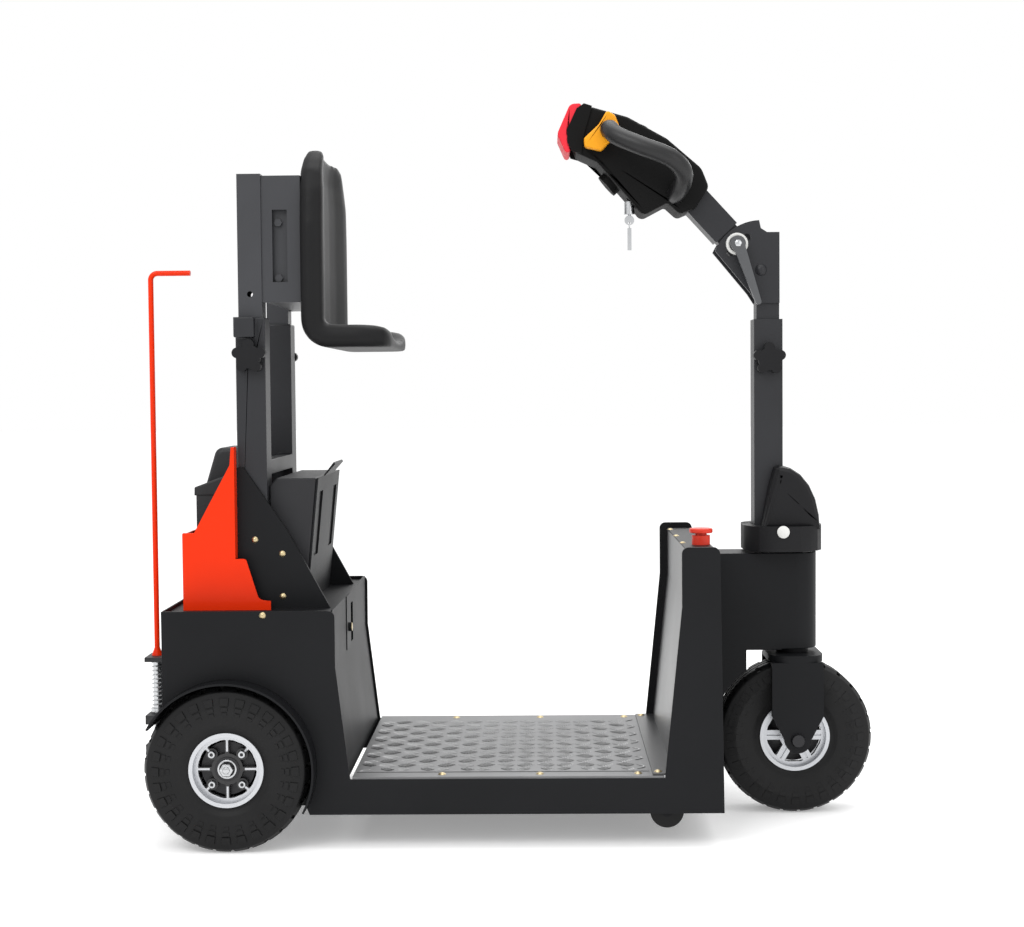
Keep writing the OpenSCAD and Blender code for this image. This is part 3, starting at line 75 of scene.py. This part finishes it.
def material(name, color, rough, metal=0.0, coat=0.0, spread=0.0, scale=40.0, bump=0.0,
             bump_scale=400.0, rough_spread=0.0, specular=0.5):
    """A painted, moulded or metal surface with slow colour drift and a fine bump."""
    drift = (0.3, 0.7)
    relief_depth = 0.0004
    surface = bpy.data.materials.new(name)
    surface.use_nodes = True
    tree = surface.node_tree
    bsdf = tree.nodes["Principled BSDF"]
    bsdf.inputs["Base Color"].default_value = (*color, 1.0)
    bsdf.inputs["Roughness"].default_value = rough
    bsdf.inputs["Metallic"].default_value = metal
    bsdf.inputs["Coat Weight"].default_value = coat
    bsdf.inputs["Specular IOR Level"].default_value = specular
    coords = tree.nodes.new("ShaderNodeTexCoord")
    if spread or rough_spread:
        noise = tree.nodes.new("ShaderNodeTexNoise")
        noise.inputs["Scale"].default_value = scale
        noise.inputs["Detail"].default_value = 4.0
        tree.links.new(coords.outputs["Object"], noise.inputs["Vector"])
        if spread:
            ramp = tree.nodes.new("ShaderNodeValToRGB")
            for stop, at, change in zip(ramp.color_ramp.elements, drift, (-spread, spread)):
                stop.position = at
                stop.color = (*[min(1.0, c * (1 + change)) for c in color], 1.0)
            tree.links.new(noise.outputs["Fac"], ramp.inputs["Fac"])
            tree.links.new(ramp.outputs["Color"], bsdf.inputs["Base Color"])
        if rough_spread:
            span = tree.nodes.new("ShaderNodeMapRange")
            span.inputs["To Min"].default_value = max(0.02, rough - rough_spread)
            span.inputs["To Max"].default_value = min(1.0, rough + rough_spread)
            tree.links.new(noise.outputs["Fac"], span.inputs["Value"])
            tree.links.new(span.outputs["Result"], bsdf.inputs["Roughness"])
    if bump:
        fine = tree.nodes.new("ShaderNodeTexNoise")
        fine.inputs["Scale"].default_value = bump_scale
        fine.inputs["Detail"].default_value = 2.0
        relief = tree.nodes.new("ShaderNodeBump")
        relief.inputs["Strength"].default_value = bump
        relief.inputs["Distance"].default_value = relief_depth
        tree.links.new(coords.outputs["Object"], fine.inputs["Vector"])
        tree.links.new(fine.outputs["Fac"], relief.inputs["Height"])
        tree.links.new(relief.outputs["Normal"], bsdf.inputs["Normal"])
    return surface


MATERIALS = {
    "paint": material("charcoal_powder_coat", (0.0085, 0.0088, 0.0098), 0.46, spread=0.1, scale=6.0,
                      bump=0.3, bump_scale=900.0, rough_spread=0.06, specular=0.11),
    # Leg shield: the charcoal powder coat with a lighter colour as painted highlight, and a smoother,
    # more specular finish
    "shield": material("shield_powder_coat", (0.022, 0.0225, 0.024), 0.34, spread=0.08, scale=6.0,
                       bump=0.2, bump_scale=900.0, rough_spread=0.05, specular=0.6),
    "post_paint": material("post_powder_coat", (0.031, 0.032, 0.036), 0.42, spread=0.08, scale=9.0,
                           bump=0.25, bump_scale=900.0, rough_spread=0.06, specular=0.34),
    "head": material("head_moulding", (0.0045, 0.0045, 0.0045), 0.6, spread=0.1, scale=12.0,
                     bump=0.35, bump_scale=1800.0, rough_spread=0.06, specular=0.09),
    # Near-black flat colour: painted shade standing in for the inside of the battery bay lock slot
    "hole": material("dark_opening", (0.002, 0.002, 0.002), 0.8, specular=0.0),
    "tube_paint": material("tube_powder_coat", (0.015, 0.0155, 0.018), 0.42, spread=0.08, scale=9.0,
                           bump=0.25, bump_scale=900.0, rough_spread=0.06, specular=0.3),
    "orange": material("orange_gloss_paint", (0.68, 0.027, 0.0025), 0.3, coat=0.03, spread=0.03,
                       scale=8.0, bump=0.06, bump_scale=500.0, specular=0.1),
    "red": material("red_plastic", (0.62, 0.02, 0.035), 0.5, spread=0.05, scale=30.0,
                    rough_spread=0.04, specular=0.2),
    "stop_red": material("stop_button_red", (0.58, 0.034, 0.016), 0.42, spread=0.05, scale=30.0,
                         rough_spread=0.04, specular=0.25),
    "yellow": material("yellow_plastic", (0.72, 0.29, 0.004), 0.42, spread=0.04, scale=30.0,
                       bump=0.08, bump_scale=1500.0, specular=0.25),
    "plastic": material("black_moulding", (0.008, 0.008, 0.009), 0.48, spread=0.1, scale=12.0,
                        bump=0.35, bump_scale=1800.0, rough_spread=0.06, specular=0.16),
    "box": material("controller_moulding", (0.022, 0.022, 0.024), 0.5, spread=0.1, scale=12.0,
                    bump=0.3, bump_scale=1500.0, rough_spread=0.06, specular=0.18),
    "seat": material("seat_skin", (0.006, 0.006, 0.0065), 0.5, spread=0.1, scale=10.0, bump=0.4,
                     bump_scale=1200.0, rough_spread=0.06, specular=0.17),
    "battery": material("battery_case", (0.011, 0.0115, 0.013), 0.5, spread=0.1, scale=10.0,
                        bump=0.3, bump_scale=1500.0, specular=0.35),
    "tyre": material("tyre_rubber", (0.0065, 0.0065, 0.0068), 0.5, spread=0.2, scale=14.0, bump=0.4,
                     bump_scale=700.0, rough_spread=0.08, specular=0.2),
    "grip": material("grip_rubber", (0.006, 0.006, 0.0065), 0.42, spread=0.08, scale=20.0, bump=0.2,
                     bump_scale=1400.0, specular=0.4),
    "alloy": material("rim_alloy", (0.46, 0.47, 0.49), 0.34, metal=0.9, spread=0.06, scale=20.0,
                      bump=0.15, bump_scale=900.0, rough_spread=0.06),
    "steel": material("bright_steel", (0.5, 0.51, 0.52), 0.3, metal=1.0, spread=0.05, scale=30.0,
                      bump=0.1, bump_scale=600.0, rough_spread=0.08),
    # Tread bars: the tread plate metal with a lighter colour as painted highlight on the raised bars,
    # and lower roughness
    "tread_bar": material("tread_bar", (0.26, 0.262, 0.264), 0.3, metal=0.9, spread=0.1, scale=40.0),
    "tread": material("tread_plate", (0.15, 0.151, 0.154), 0.42, metal=0.9, spread=0.25, scale=5.0,
                      bump=0.25, bump_scale=350.0, rough_spread=0.1),
    "brass": material("zinc_yellow", (0.50, 0.41, 0.24), 0.34, metal=0.95, spread=0.1, scale=40.0,
                      rough_spread=0.08),
    "iron": material("black_iron", (0.014, 0.014, 0.016), 0.42, metal=0.2, spread=0.1, scale=20.0,
                     specular=0.4),
    "white": material("white_nylon", (0.62, 0.62, 0.6), 0.5, spread=0.02, scale=30.0),
    "lever": material("lever_grey", (0.06, 0.062, 0.066), 0.38, spread=0.08, scale=30.0,
                      bump=0.1, bump_scale=900.0),
    "jaw": material("jaw_paint", (0.018, 0.0185, 0.02), 0.48, spread=0.15, scale=20.0, bump=0.3,
                    bump_scale=900.0, specular=0.35),
}

NODE_MATERIAL = {
    "paint": ["side_plate_left", "side_plate_right", "mudguards", "deck_frame", "rear_panel",
              "battery_bay_panel", "front_box_cover", "steering_head",
              "castor_brackets", "gussets", "fork", "column_cover"],
    "shield": ["leg_shield"],
    "post_paint": ["seat_posts", "seat_bracket"],
    "head": ["tiller_head", "horn_button"],
    "box": ["controller_box"],
    "tube_paint": ["seat_mast", "column_outer", "column_inner", "tilt_plates", "tiller_arm"],
    "jaw": ["hitch_bracket"],
    "orange": ["rear_cover", "pull_rod"],
    "red": ["belly_button"],
    "stop_red": ["emergency_base", "emergency_knob"],
    "yellow": ["thumb_rocker"],
    "plastic": ["steering_shroud", "column_knob", "seat_knob_left", "seat_knob_right"],
    "lever": ["clamp_lever"],
    "battery": ["battery_case", "battery_lid"],
    "seat": ["seat_shell"],
    "tyre": ["rear_tyre_left", "rear_tyre_right", "front_tyre", "castor_left", "castor_right"],
    "grip": ["hand_grips"],
    "rear_rim": ["rear_rim_left", "rear_rim_right"],
    "alloy": ["front_rim", "transaxle"],
    "steel": ["head_bearings", "hitch_pin", "hitch_spring", "key_switch", "ignition_key"],
    "tread": ["tread_plate"],
    "brass": ["deck_bolts", "frame_bolts"],
    "iron": ["drive_motor", "rear_hub_left", "rear_hub_right", "front_axle"],
}


def smooth_group():
    """Joins the split vertices of a CAD mesh and shades it smooth below a given edge angle."""
    merge_gap = 0.00001
    group = bpy.data.node_groups.new("smooth_by_angle", "GeometryNodeTree")
    group.interface.new_socket("Geometry", in_out="INPUT", socket_type="NodeSocketGeometry")
    group.interface.new_socket("Angle", in_out="INPUT", socket_type="NodeSocketFloat")
    group.interface.new_socket("Geometry", in_out="OUTPUT", socket_type="NodeSocketGeometry")
    start = group.nodes.new("NodeGroupInput")
    end = group.nodes.new("NodeGroupOutput")
    merge = group.nodes.new("GeometryNodeMergeByDistance")
    merge.inputs["Distance"].default_value = merge_gap
    faces = group.nodes.new("GeometryNodeSetShadeSmooth")
    faces.domain = "FACE"
    all_edges = group.nodes.new("GeometryNodeSetShadeSmooth")
    all_edges.domain = "EDGE"
    sharp = group.nodes.new("GeometryNodeSetShadeSmooth")
    sharp.domain = "EDGE"
    sharp.inputs["Shade Smooth"].default_value = False
    angle = group.nodes.new("GeometryNodeInputMeshEdgeAngle")
    over = group.nodes.new("FunctionNodeCompare")
    over.data_type = "FLOAT"
    over.operation = "GREATER_THAN"
    link = group.links.new
    link(start.outputs["Geometry"], merge.inputs["Geometry"])
    link(merge.outputs["Geometry"], faces.inputs["Geometry"])
    link(faces.outputs["Geometry"], all_edges.inputs["Geometry"])
    link(all_edges.outputs["Geometry"], sharp.inputs["Geometry"])
    link(angle.outputs["Unsigned Angle"], over.inputs[0])
    link(start.outputs["Angle"], over.inputs[1])
    link(over.outputs["Result"], sharp.inputs["Selection"])
    link(sharp.outputs["Geometry"], end.inputs["Geometry"])
    return group


def rim_paint(surface, centre_x, centre_z):
    """Black paint on a rim, with bright metal only at the barrel and along the spokes."""
    bright_metal = 0.88
    tree = surface.node_tree
    bsdf = tree.nodes["Principled BSDF"]
    coords = tree.nodes.new("ShaderNodeTexCoord")
    shift = tree.nodes.new("ShaderNodeVectorMath")
    shift.operation = "SUBTRACT"
    shift.inputs[1].default_value = (centre_x, 0.0, centre_z)
    parts = tree.nodes.new("ShaderNodeSeparateXYZ")
    tree.links.new(coords.outputs["Object"], shift.inputs[0])
    tree.links.new(shift.outputs["Vector"], parts.inputs["Vector"])

    def maths(kind, a, b=None):
        node = tree.nodes.new("ShaderNodeMath")
        node.operation = kind
        for k, v in enumerate((a, b)):
            if v is None:
                continue
            if isinstance(v, float):
                node.inputs[k].default_value = v
            else:
                tree.links.new(v, node.inputs[k])
        return node.outputs["Value"]

    x, z = parts.outputs["X"], parts.outputs["Z"]
    radius = maths("SQRT", maths("ADD", maths("MULTIPLY", x, x), maths("MULTIPLY", z, z)))
    turn = maths("ARCTAN2", z, x)
    spoke = maths("ABSOLUTE", maths("SINE", maths("MULTIPLY", turn, SPOKES / 2)))
    off = maths("MULTIPLY", maths("DIVIDE", spoke, SPOKES / 2), radius)
    on_spoke = maths("MULTIPLY", maths("LESS_THAN", off, SPOKE_HALF_W),
                     maths("GREATER_THAN", radius, SPOKE_START_R))
    silver = maths("MAXIMUM", on_spoke, maths("GREATER_THAN", radius, BARREL_R))
    mix = tree.nodes.new("ShaderNodeMix")
    mix.data_type = "RGBA"
    mix.inputs["A"].default_value = (*BLACK, 1.0)
    mix.inputs["B"].default_value = (*SILVER, 1.0)
    tree.links.new(silver, mix.inputs["Factor"])
    tree.links.new(mix.outputs["Result"], bsdf.inputs["Base Color"])
    tree.links.new(maths("MULTIPLY", silver, bright_metal), bsdf.inputs["Metallic"])


MATERIALS["rear_rim"] = material("rear_rim_two_tone", SILVER, 0.36, bump=0.1, bump_scale=900.0)
rim_paint(MATERIALS["rear_rim"], REAR_X, AXLE_Z)

SMOOTH = smooth_group()
USUAL_ANGLE = 31.0          # degrees: edges that turn more stay sharp
SMOOTH_ANGLE = {"seat_shell": 60.0, "hand_grips": 50.0, "steering_shroud": 18.0, "tiller_head": 18.0,
                "thumb_rocker": 18.0, "belly_button": 18.0}
EVEN_NODES = ("tiller_head", "belly_button", "thumb_rocker", "battery_lid", "controller_box",
              "steering_shroud", "battery_case")


def dress(node, key):
    """Gives a CAD node its material and smooth shading on its round faces."""
    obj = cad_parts[node]
    obj.data.materials.clear()
    obj.data.materials.append(MATERIALS[key])
    if "custom_normal" in obj.data.attributes:
        obj.data.attributes.remove(obj.data.attributes["custom_normal"])
    shade = obj.modifiers.new("shade", "NODES")
    shade.node_group = SMOOTH
    shade["Socket_1"] = math.radians(SMOOTH_ANGLE.get(node, USUAL_ANGLE))
    if node in EVEN_NODES:
        even = obj.modifiers.new("even", "WEIGHTED_NORMAL")
        even.keep_sharp = True
        even.weight = 100


for key, names in NODE_MATERIAL.items():
    for name in names:
        dress(name, key)


def soften(node, width, angle):
    """Rounds the edges of a CAD node that turn more than angle degrees."""
    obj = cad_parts[node]
    edge = obj.modifiers.new("edge", "BEVEL")
    edge.width = width
    edge.segments = 2
    edge.limit_method = "ANGLE"
    edge.angle_limit = math.radians(angle)
    edge.harden_normals = False
    edge.use_clamp_overlap = True


# Small pieces added to the CAD nodes

def link_piece(name, mesh, key, body):
    """Puts a mesh in the scene with its material, riding on a body."""
    obj = bpy.data.objects.new(name, mesh)
    bpy.context.scene.collection.objects.link(obj)
    mesh.materials.append(MATERIALS[key])
    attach(obj, body)
    return obj


def mesh_piece(name, verts, faces, key, body, closed):
    """A piece from its points and faces. The faces of a closed one are turned outwards."""
    mesh = bpy.data.meshes.new(name)
    mesh.from_pydata(verts, [], faces)
    mesh.update()
    if closed:
        bm = bmesh.new()
        bm.from_mesh(mesh)
        bmesh.ops.recalc_face_normals(bm, faces=bm.faces)
        bm.to_mesh(mesh)
        bm.free()
    return link_piece(name, mesh, key, body)


def tread_bars():
    """Raised bars of the five-bar tread plate, in groups that turn by ninety degrees."""
    pitch = 0.0335
    bar = 0.0245
    bars = 5
    half_w = 0.0021
    rise = 0.0011
    step = 0.0054
    outer_share = 0.06          # each bar outwards is shorter by this share
    tip_share = 0.6
    top_shares = (0.8, 0.45)
    start_shares = (0.5, 0.4)
    verts = []
    faces = []

    def add(cx, cy, angle):
        d = Vector((math.cos(angle), math.sin(angle), 0.0))
        n = Vector((-d.y, d.x, 0.0))
        for i in range(bars):
            from_middle = i - bars // 2
            c = Vector((cx, cy, DECK_Z + FIELD_RISE)) + n * step * from_middle
            size = bar / 2 * (1.0 - outer_share * abs(from_middle))
            if not (FIELD_X[0] + size < c.x < FIELD_X[1] - size and abs(c.y) < FIELD_Y - size):
                continue
            base = len(verts)
            tip = size * tip_share
            ends = [(-size, 0), (-tip, 1), (tip, 1), (size, 0), (tip, -1), (-tip, -1)]
            for s, w in ends:
                verts.append(c + d * s + n * w * half_w)
            for s, w in ends:
                verts.append(c + d * s * top_shares[0] + n * w * half_w * top_shares[1]
                             + Vector((0, 0, rise)))
            corners = len(ends)
            top = base + corners
            for k in range(corners):
                j = (k + 1) % corners
                faces.append((base + k, base + j, top + j, top + k))
            faces.append(tuple(top + k for k in range(corners)))

    nx = int((FLANGE_X - DECK_X[0]) / pitch) + 2
    ny = int(2 * DECK_Y / pitch) + 2
    for i in range(nx):
        for j in range(ny):
            turn = math.radians(45 if (i + j) % 2 else -45)
            add(DECK_X[0] + pitch * (i + start_shares[0]), -DECK_Y + pitch * (j + start_shares[1]), turn)
    # The bars take the lighter copy of the plate metal: painted highlight
    mesh_piece("tread_bars", verts, faces, "tread_bar", "chassis", closed=False)


def ring_piece(name, place, axis, inner, outer, height, key, body, sides):
    """A flat ring or disc on a face: place is the middle of its foot and axis points outwards."""
    soft_share = 0.3            # share of the height that the top edge slopes over
    bm = bmesh.new()
    turn = Vector((0, 0, 1)).rotation_difference(Vector(axis)).to_matrix().to_4x4()
    move = Matrix.Translation(place) @ turn
    rows = []
    soft = height * soft_share
    profile = [(outer, 0.0), (outer, height - soft), (outer - soft, height),
               (inner + soft, height), (inner, height - soft), (inner, 0.0)]
    if inner <= 0:
        profile = profile[:3] + [(0.0, height)]
    for r, z in profile:
        if r <= 0:
            rows.append([bm.verts.new(move @ Vector((0, 0, z)))])
        else:
            rows.append([bm.verts.new(move @ Vector((r * math.cos(2 * math.pi * k / sides),
                                                     r * math.sin(2 * math.pi * k / sides), z)))
                         for k in range(sides)])
    for a, b in zip(rows, rows[1:]):
        for k in range(sides):
            j = (k + 1) % sides
            if len(b) == 1:
                bm.faces.new((a[k], a[j], b[0]))
            else:
                bm.faces.new((a[k], a[j], b[j], b[k]))
    mesh = bpy.data.meshes.new(name)
    bm.to_mesh(mesh)
    bm.free()
    for p in mesh.polygons:
        p.use_smooth = True
    return link_piece(name, mesh, key, body)


def bar_piece(name, low, high, key, body, round_by):
    """A block between two corners with softened edges."""
    bm = bmesh.new()
    bmesh.ops.create_cube(bm, size=1.0)
    mid = [(a + b) / 2 for a, b in zip(low, high)]
    size = [b - a for a, b in zip(low, high)]
    for v in bm.verts:
        v.co = Vector([centre + at * span for centre, at, span in zip(mid, v.co, size)])
    mesh = bpy.data.meshes.new(name)
    bm.to_mesh(mesh)
    bm.free()
    obj = link_piece(name, mesh, key, body)
    edge = obj.modifiers.new("edge", "BEVEL")
    edge.width = round_by
    edge.segments = 2
    return obj


def side_half_width(r):
    """Half width of the tyre at radius r, as its sidewall runs."""
    slope = TREAD_SLOPE if r > SHOULDER_R else WALL_SLOPE
    return TYRE_HALF_W - slope * abs(r - SHOULDER_R)


def shoulder_blocks(name, centre, body, relief):
    """Three rows of stepped tread blocks on both shoulders of a tyre."""
    # inner and outer radius, share of the step, height over the sidewall
    rows = ((0.1085, 0.1205, 0.62, 0.0022), (0.0995, 0.1055, 0.54, 0.0016),
            (0.0915, 0.0965, 0.44, 0.0012))
    sunk = -0.001
    top_share = 0.86
    quads = ((0, 1, 2, 3), (4, 5, 6, 7), (0, 1, 5, 4), (1, 2, 6, 5), (2, 3, 7, 6), (3, 0, 4, 7))
    step = 2 * math.pi / LUGS
    verts = []
    faces = []
    for side in (-1, 1):
        for i in range(LUGS):
            for r0, r1, share, proud in rows:
                middle = step * (i + 0.5 * (side > 0))
                half = step * share / 2
                base = len(verts)
                for lift, narrow in ((sunk, 1.0), (proud * relief, top_share)):
                    for r, a in ((r0, -half), (r1, -half), (r1, half), (r0, half)):
                        y = side * (side_half_width(r) + lift)
                        angle = middle + a * narrow
                        verts.append((centre[0] + r * math.cos(angle), centre[1] + y,
                                      centre[2] + r * math.sin(angle)))
                faces.extend(tuple(base + k for k in q) for q in quads)
    mesh_piece(name, verts, faces, "tyre", body, closed=True)


def hub_metal(side, body):
    """Bright nut and bolt heads on the black hub of a rear wheel."""
    out = (0, side, 0)
    bolts = 4
    bolt_circle_r = 0.035
    bolt_y = 0.2768
    nut_y = 0.2818
    washer_y = 0.2729
    bolt_radii = (0.0028, 0.0056)
    face_h = 0.0008
    for i in range(bolts):
        a = math.radians(360 / bolts * (i + 0.5))
        place = Vector((REAR_X + bolt_circle_r * math.cos(a), side * bolt_y,
                        AXLE_Z + bolt_circle_r * math.sin(a)))
        ring_piece(f"hub_bolt_face_{body}_{i}", place, out, *bolt_radii, face_h, "steel", body, 20)
    nut = Vector((REAR_X, side * nut_y, AXLE_Z))
    washer = Vector((REAR_X, side * washer_y, AXLE_Z))
    # name, place, inner and outer radius, height, sides
    for name, place, inner, outer, height, sides in (
            ("hub_nut_face", nut, 0.0062, 0.0112, face_h, 6),
            ("hub_stud", nut, 0.0, 0.0058, 0.0022, 24),
            ("hub_washer", washer, 0.0118, 0.0158, 0.0012, 32)):
        ring_piece(f"{name}_{body}", place, out, inner, outer, height, "steel", body, sides)


def plate_piece(name, outline, y0, y1, key, body):
    """A flat piece cut to an outline of x and z places, between two side planes."""
    n = len(outline)
    verts = [(x, y, z) for y in (y0, y1) for x, z in outline]
    faces = [tuple(range(n)), tuple(range(2 * n - 1, n - 1, -1))]
    faces += [(i, i + n, (i + 1) % n + n, (i + 1) % n) for i in range(n)]
    return mesh_piece(name, verts, faces, key, body, closed=True)


def shroud_cap(side, name):
    """White round cap on a side of the steering shroud."""
    cap_x = 0.483
    cap_y = 0.0775
    cap_z = 0.502
    cap_r = 0.0108
    cap_h = 0.0012
    place = Vector((cap_x, side * cap_y, cap_z))
    ring_piece(f"shroud_cap_{name}", place, (0, side, 0), 0.0, cap_r, cap_h, "white", "steering", 32)


def head_bezels():
    """Front frame of the tiller head: thin cheeks that overlap the sides of the belly button."""
    # millimetres behind the front axle, and heights
    front = [(-388.0, 1166.5), (-395.5, 1181.5), (-395.8, 1203.0), (-378.6, 1239.4), (-366.0, 1248.0)]
    back = [(-352.0, 1243.5), (-357.0, 1226.0), (-366.0, 1196.0), (-371.0, 1161.5)]
    inner_y = 0.0503
    outer_y = 0.0515
    cheek = [(FRONT_X + x / 1000, z / 1000) for x, z in front + back]
    for side, name in SIDES:
        plate_piece(f"bezel_{name}", cheek, side * inner_y, side * outer_y, "head", "tiller")


def seat_pad():
    """The moulded foam seat: a rounded skin over the shell, with its edge roll and soft corners."""
    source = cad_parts["seat_shell"]
    pad = bpy.data.objects.new("seat_pad", source.data.copy())
    bpy.context.scene.collection.objects.link(pad)
    remesh = pad.modifiers.new("skin", "REMESH")
    remesh.mode = "VOXEL"
    remesh.voxel_size = 0.0045
    relax = pad.modifiers.new("relax", "SMOOTH")
    relax.factor = 0.5
    relax.iterations = 8
    mesh = bpy.data.meshes.new_from_object(pad.evaluated_get(bpy.context.evaluated_depsgraph_get()))
    pad.modifiers.clear()
    pad.data = mesh
    mesh.materials.clear()
    mesh.materials.append(MATERIALS["seat"])
    for polygon in mesh.polygons:
        polygon.use_smooth = True
    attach(pad, "seat")
    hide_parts("seat_shell")


tread_bars()
seat_pad()
head_bezels()
for side, name in SIDES:
    wheel = f"rear_wheel_{name}"
    shoulder_blocks(f"shoulder_blocks_rear_{name}", (REAR_X, side * WHEEL_Y, AXLE_Z), wheel, 1.0)
    hub_metal(side, wheel)
    shroud_cap(side, name)
shoulder_blocks("shoulder_blocks_front", (FRONT_X, 0.0, AXLE_Z), "front_wheel", FRONT_RELIEF)

# name, place, axis, inner and outer radius, height, material, body, sides
for name, place, axis, inner, outer, height, key, body, sides in (
        ("front_rim_web", (FRONT_X, -0.001, AXLE_Z), (0, 1, 0), 0.018, 0.0495, 0.002, "iron",
         "front_wheel", 48),
        ("bay_lock_face", (-0.2734, -0.035, 0.336), (1, 0, 0), 0.0, 0.0072, 0.0008, "brass",
         "chassis", 24),
        ("nylon_washer", (0.4101, -0.0252, 1.0047), (0, -1, 0), 0.0135, 0.0194, 0.0029, "white",
         "tilt_clamp", 48),
        ("lever_screw", (0.4101, -0.0455, 1.0047), (0, -1, 0), 0.0, 0.0065, 0.0006, "steel",
         "tilt_clamp", 6)):
    ring_piece(name, Vector(place), axis, inner, outer, height, key, body, sides)
# Thin near-black plate on the battery bay panel: painted shade of the lock slot, which is not cut
bar_piece("bay_slot", (-0.2801, -0.003, 0.304), (-0.2792, 0.032, 0.373), "hole", "chassis", 0.0003)

# nodes, width of the rounded edge, least angle of the edge in degrees
for nodes, width, angle in (
        (("side_plate_left", "side_plate_right", "gussets"), 0.0008, 35.0),
        (("seat_mast", "column_outer"), 0.0022, 60.0),
        (("steering_head", "fork"), 0.001, 50.0)):
    for node in nodes:
        soften(node, width, angle)


# Stage, light and camera

def stage_floor():
    """White floor that stays white under the lights and still takes a soft shadow."""
    floor_size = 60.0
    floor_white = 0.86
    glow = 0.27
    bpy.ops.mesh.primitive_plane_add(size=floor_size, location=(0, 0, 0))
    floor = bpy.context.object
    floor.name = "floor"
    surface = bpy.data.materials.new("floor")
    surface.use_nodes = True
    bsdf = surface.node_tree.nodes["Principled BSDF"]
    bsdf.inputs["Base Color"].default_value = (floor_white, floor_white, floor_white, 1.0)
    bsdf.inputs["Roughness"].default_value = 1.0
    bsdf.inputs["Specular IOR Level"].default_value = 0.0
    bsdf.inputs["Emission Color"].default_value = (1.0, 1.0, 1.0, 1.0)
    bsdf.inputs["Emission Strength"].default_value = glow
    floor.data.materials.append(surface)


def area_light(name, place, target, size, power):
    """A rectangular soft light that faces its target."""
    data = bpy.data.lights.new(name, "AREA")
    data.shape = "RECTANGLE"
    data.size = size[0]
    data.size_y = size[1]
    data.energy = power
    obj = bpy.data.objects.new(name, data)
    bpy.context.scene.collection.objects.link(obj)
    obj.location = place
    obj.rotation_euler = (Vector(target) - Vector(place)).to_track_quat("-Z", "Y").to_euler()


stage_floor()
# name, place, target, width and height, watts
for name, place, target, size, power in (
        ("key", (-1.4, -2.6, 3.0), (0, 0, 0.5), (2.2, 1.6), 50.0),
        ("fill", (2.4, -2.8, 1.6), (0, 0, 0.5), (2.0, 2.0), 16.0),
        ("top", (0.2, 0.2, 3.4), (0, 0, 0.4), (3.0, 2.4), 55.0),
        ("back", (0.6, 2.8, 2.0), (0, 0, 0.7), (2.4, 1.6), 20.0)):
    area_light(name, place, target, size, power)

world = bpy.data.worlds.new("world")
bpy.context.scene.world = world
world.use_nodes = True
background = world.node_tree.nodes["Background"]
background.inputs["Color"].default_value = (1.0, 1.0, 1.0, 1.0)
background.inputs["Strength"].default_value = 1.0

camera_data = bpy.data.cameras.new("camera")
camera_data.sensor_width = SENSOR
camera_data.lens = LENS
camera = bpy.data.objects.new("camera", camera_data)
bpy.context.scene.collection.objects.link(camera)
camera.matrix_world = (Matrix.Translation(CAMERA) @ Matrix.Rotation(CAMERA_YAW, 4, "Z")
                       @ Matrix.Rotation(math.pi / 2 - CAMERA_PITCH, 4, "X")
                       @ Matrix.Rotation(-CAMERA_ROLL, 4, "Z"))

bpy.context.scene.camera = camera
bpy.context.scene.view_settings.view_transform = "Standard"
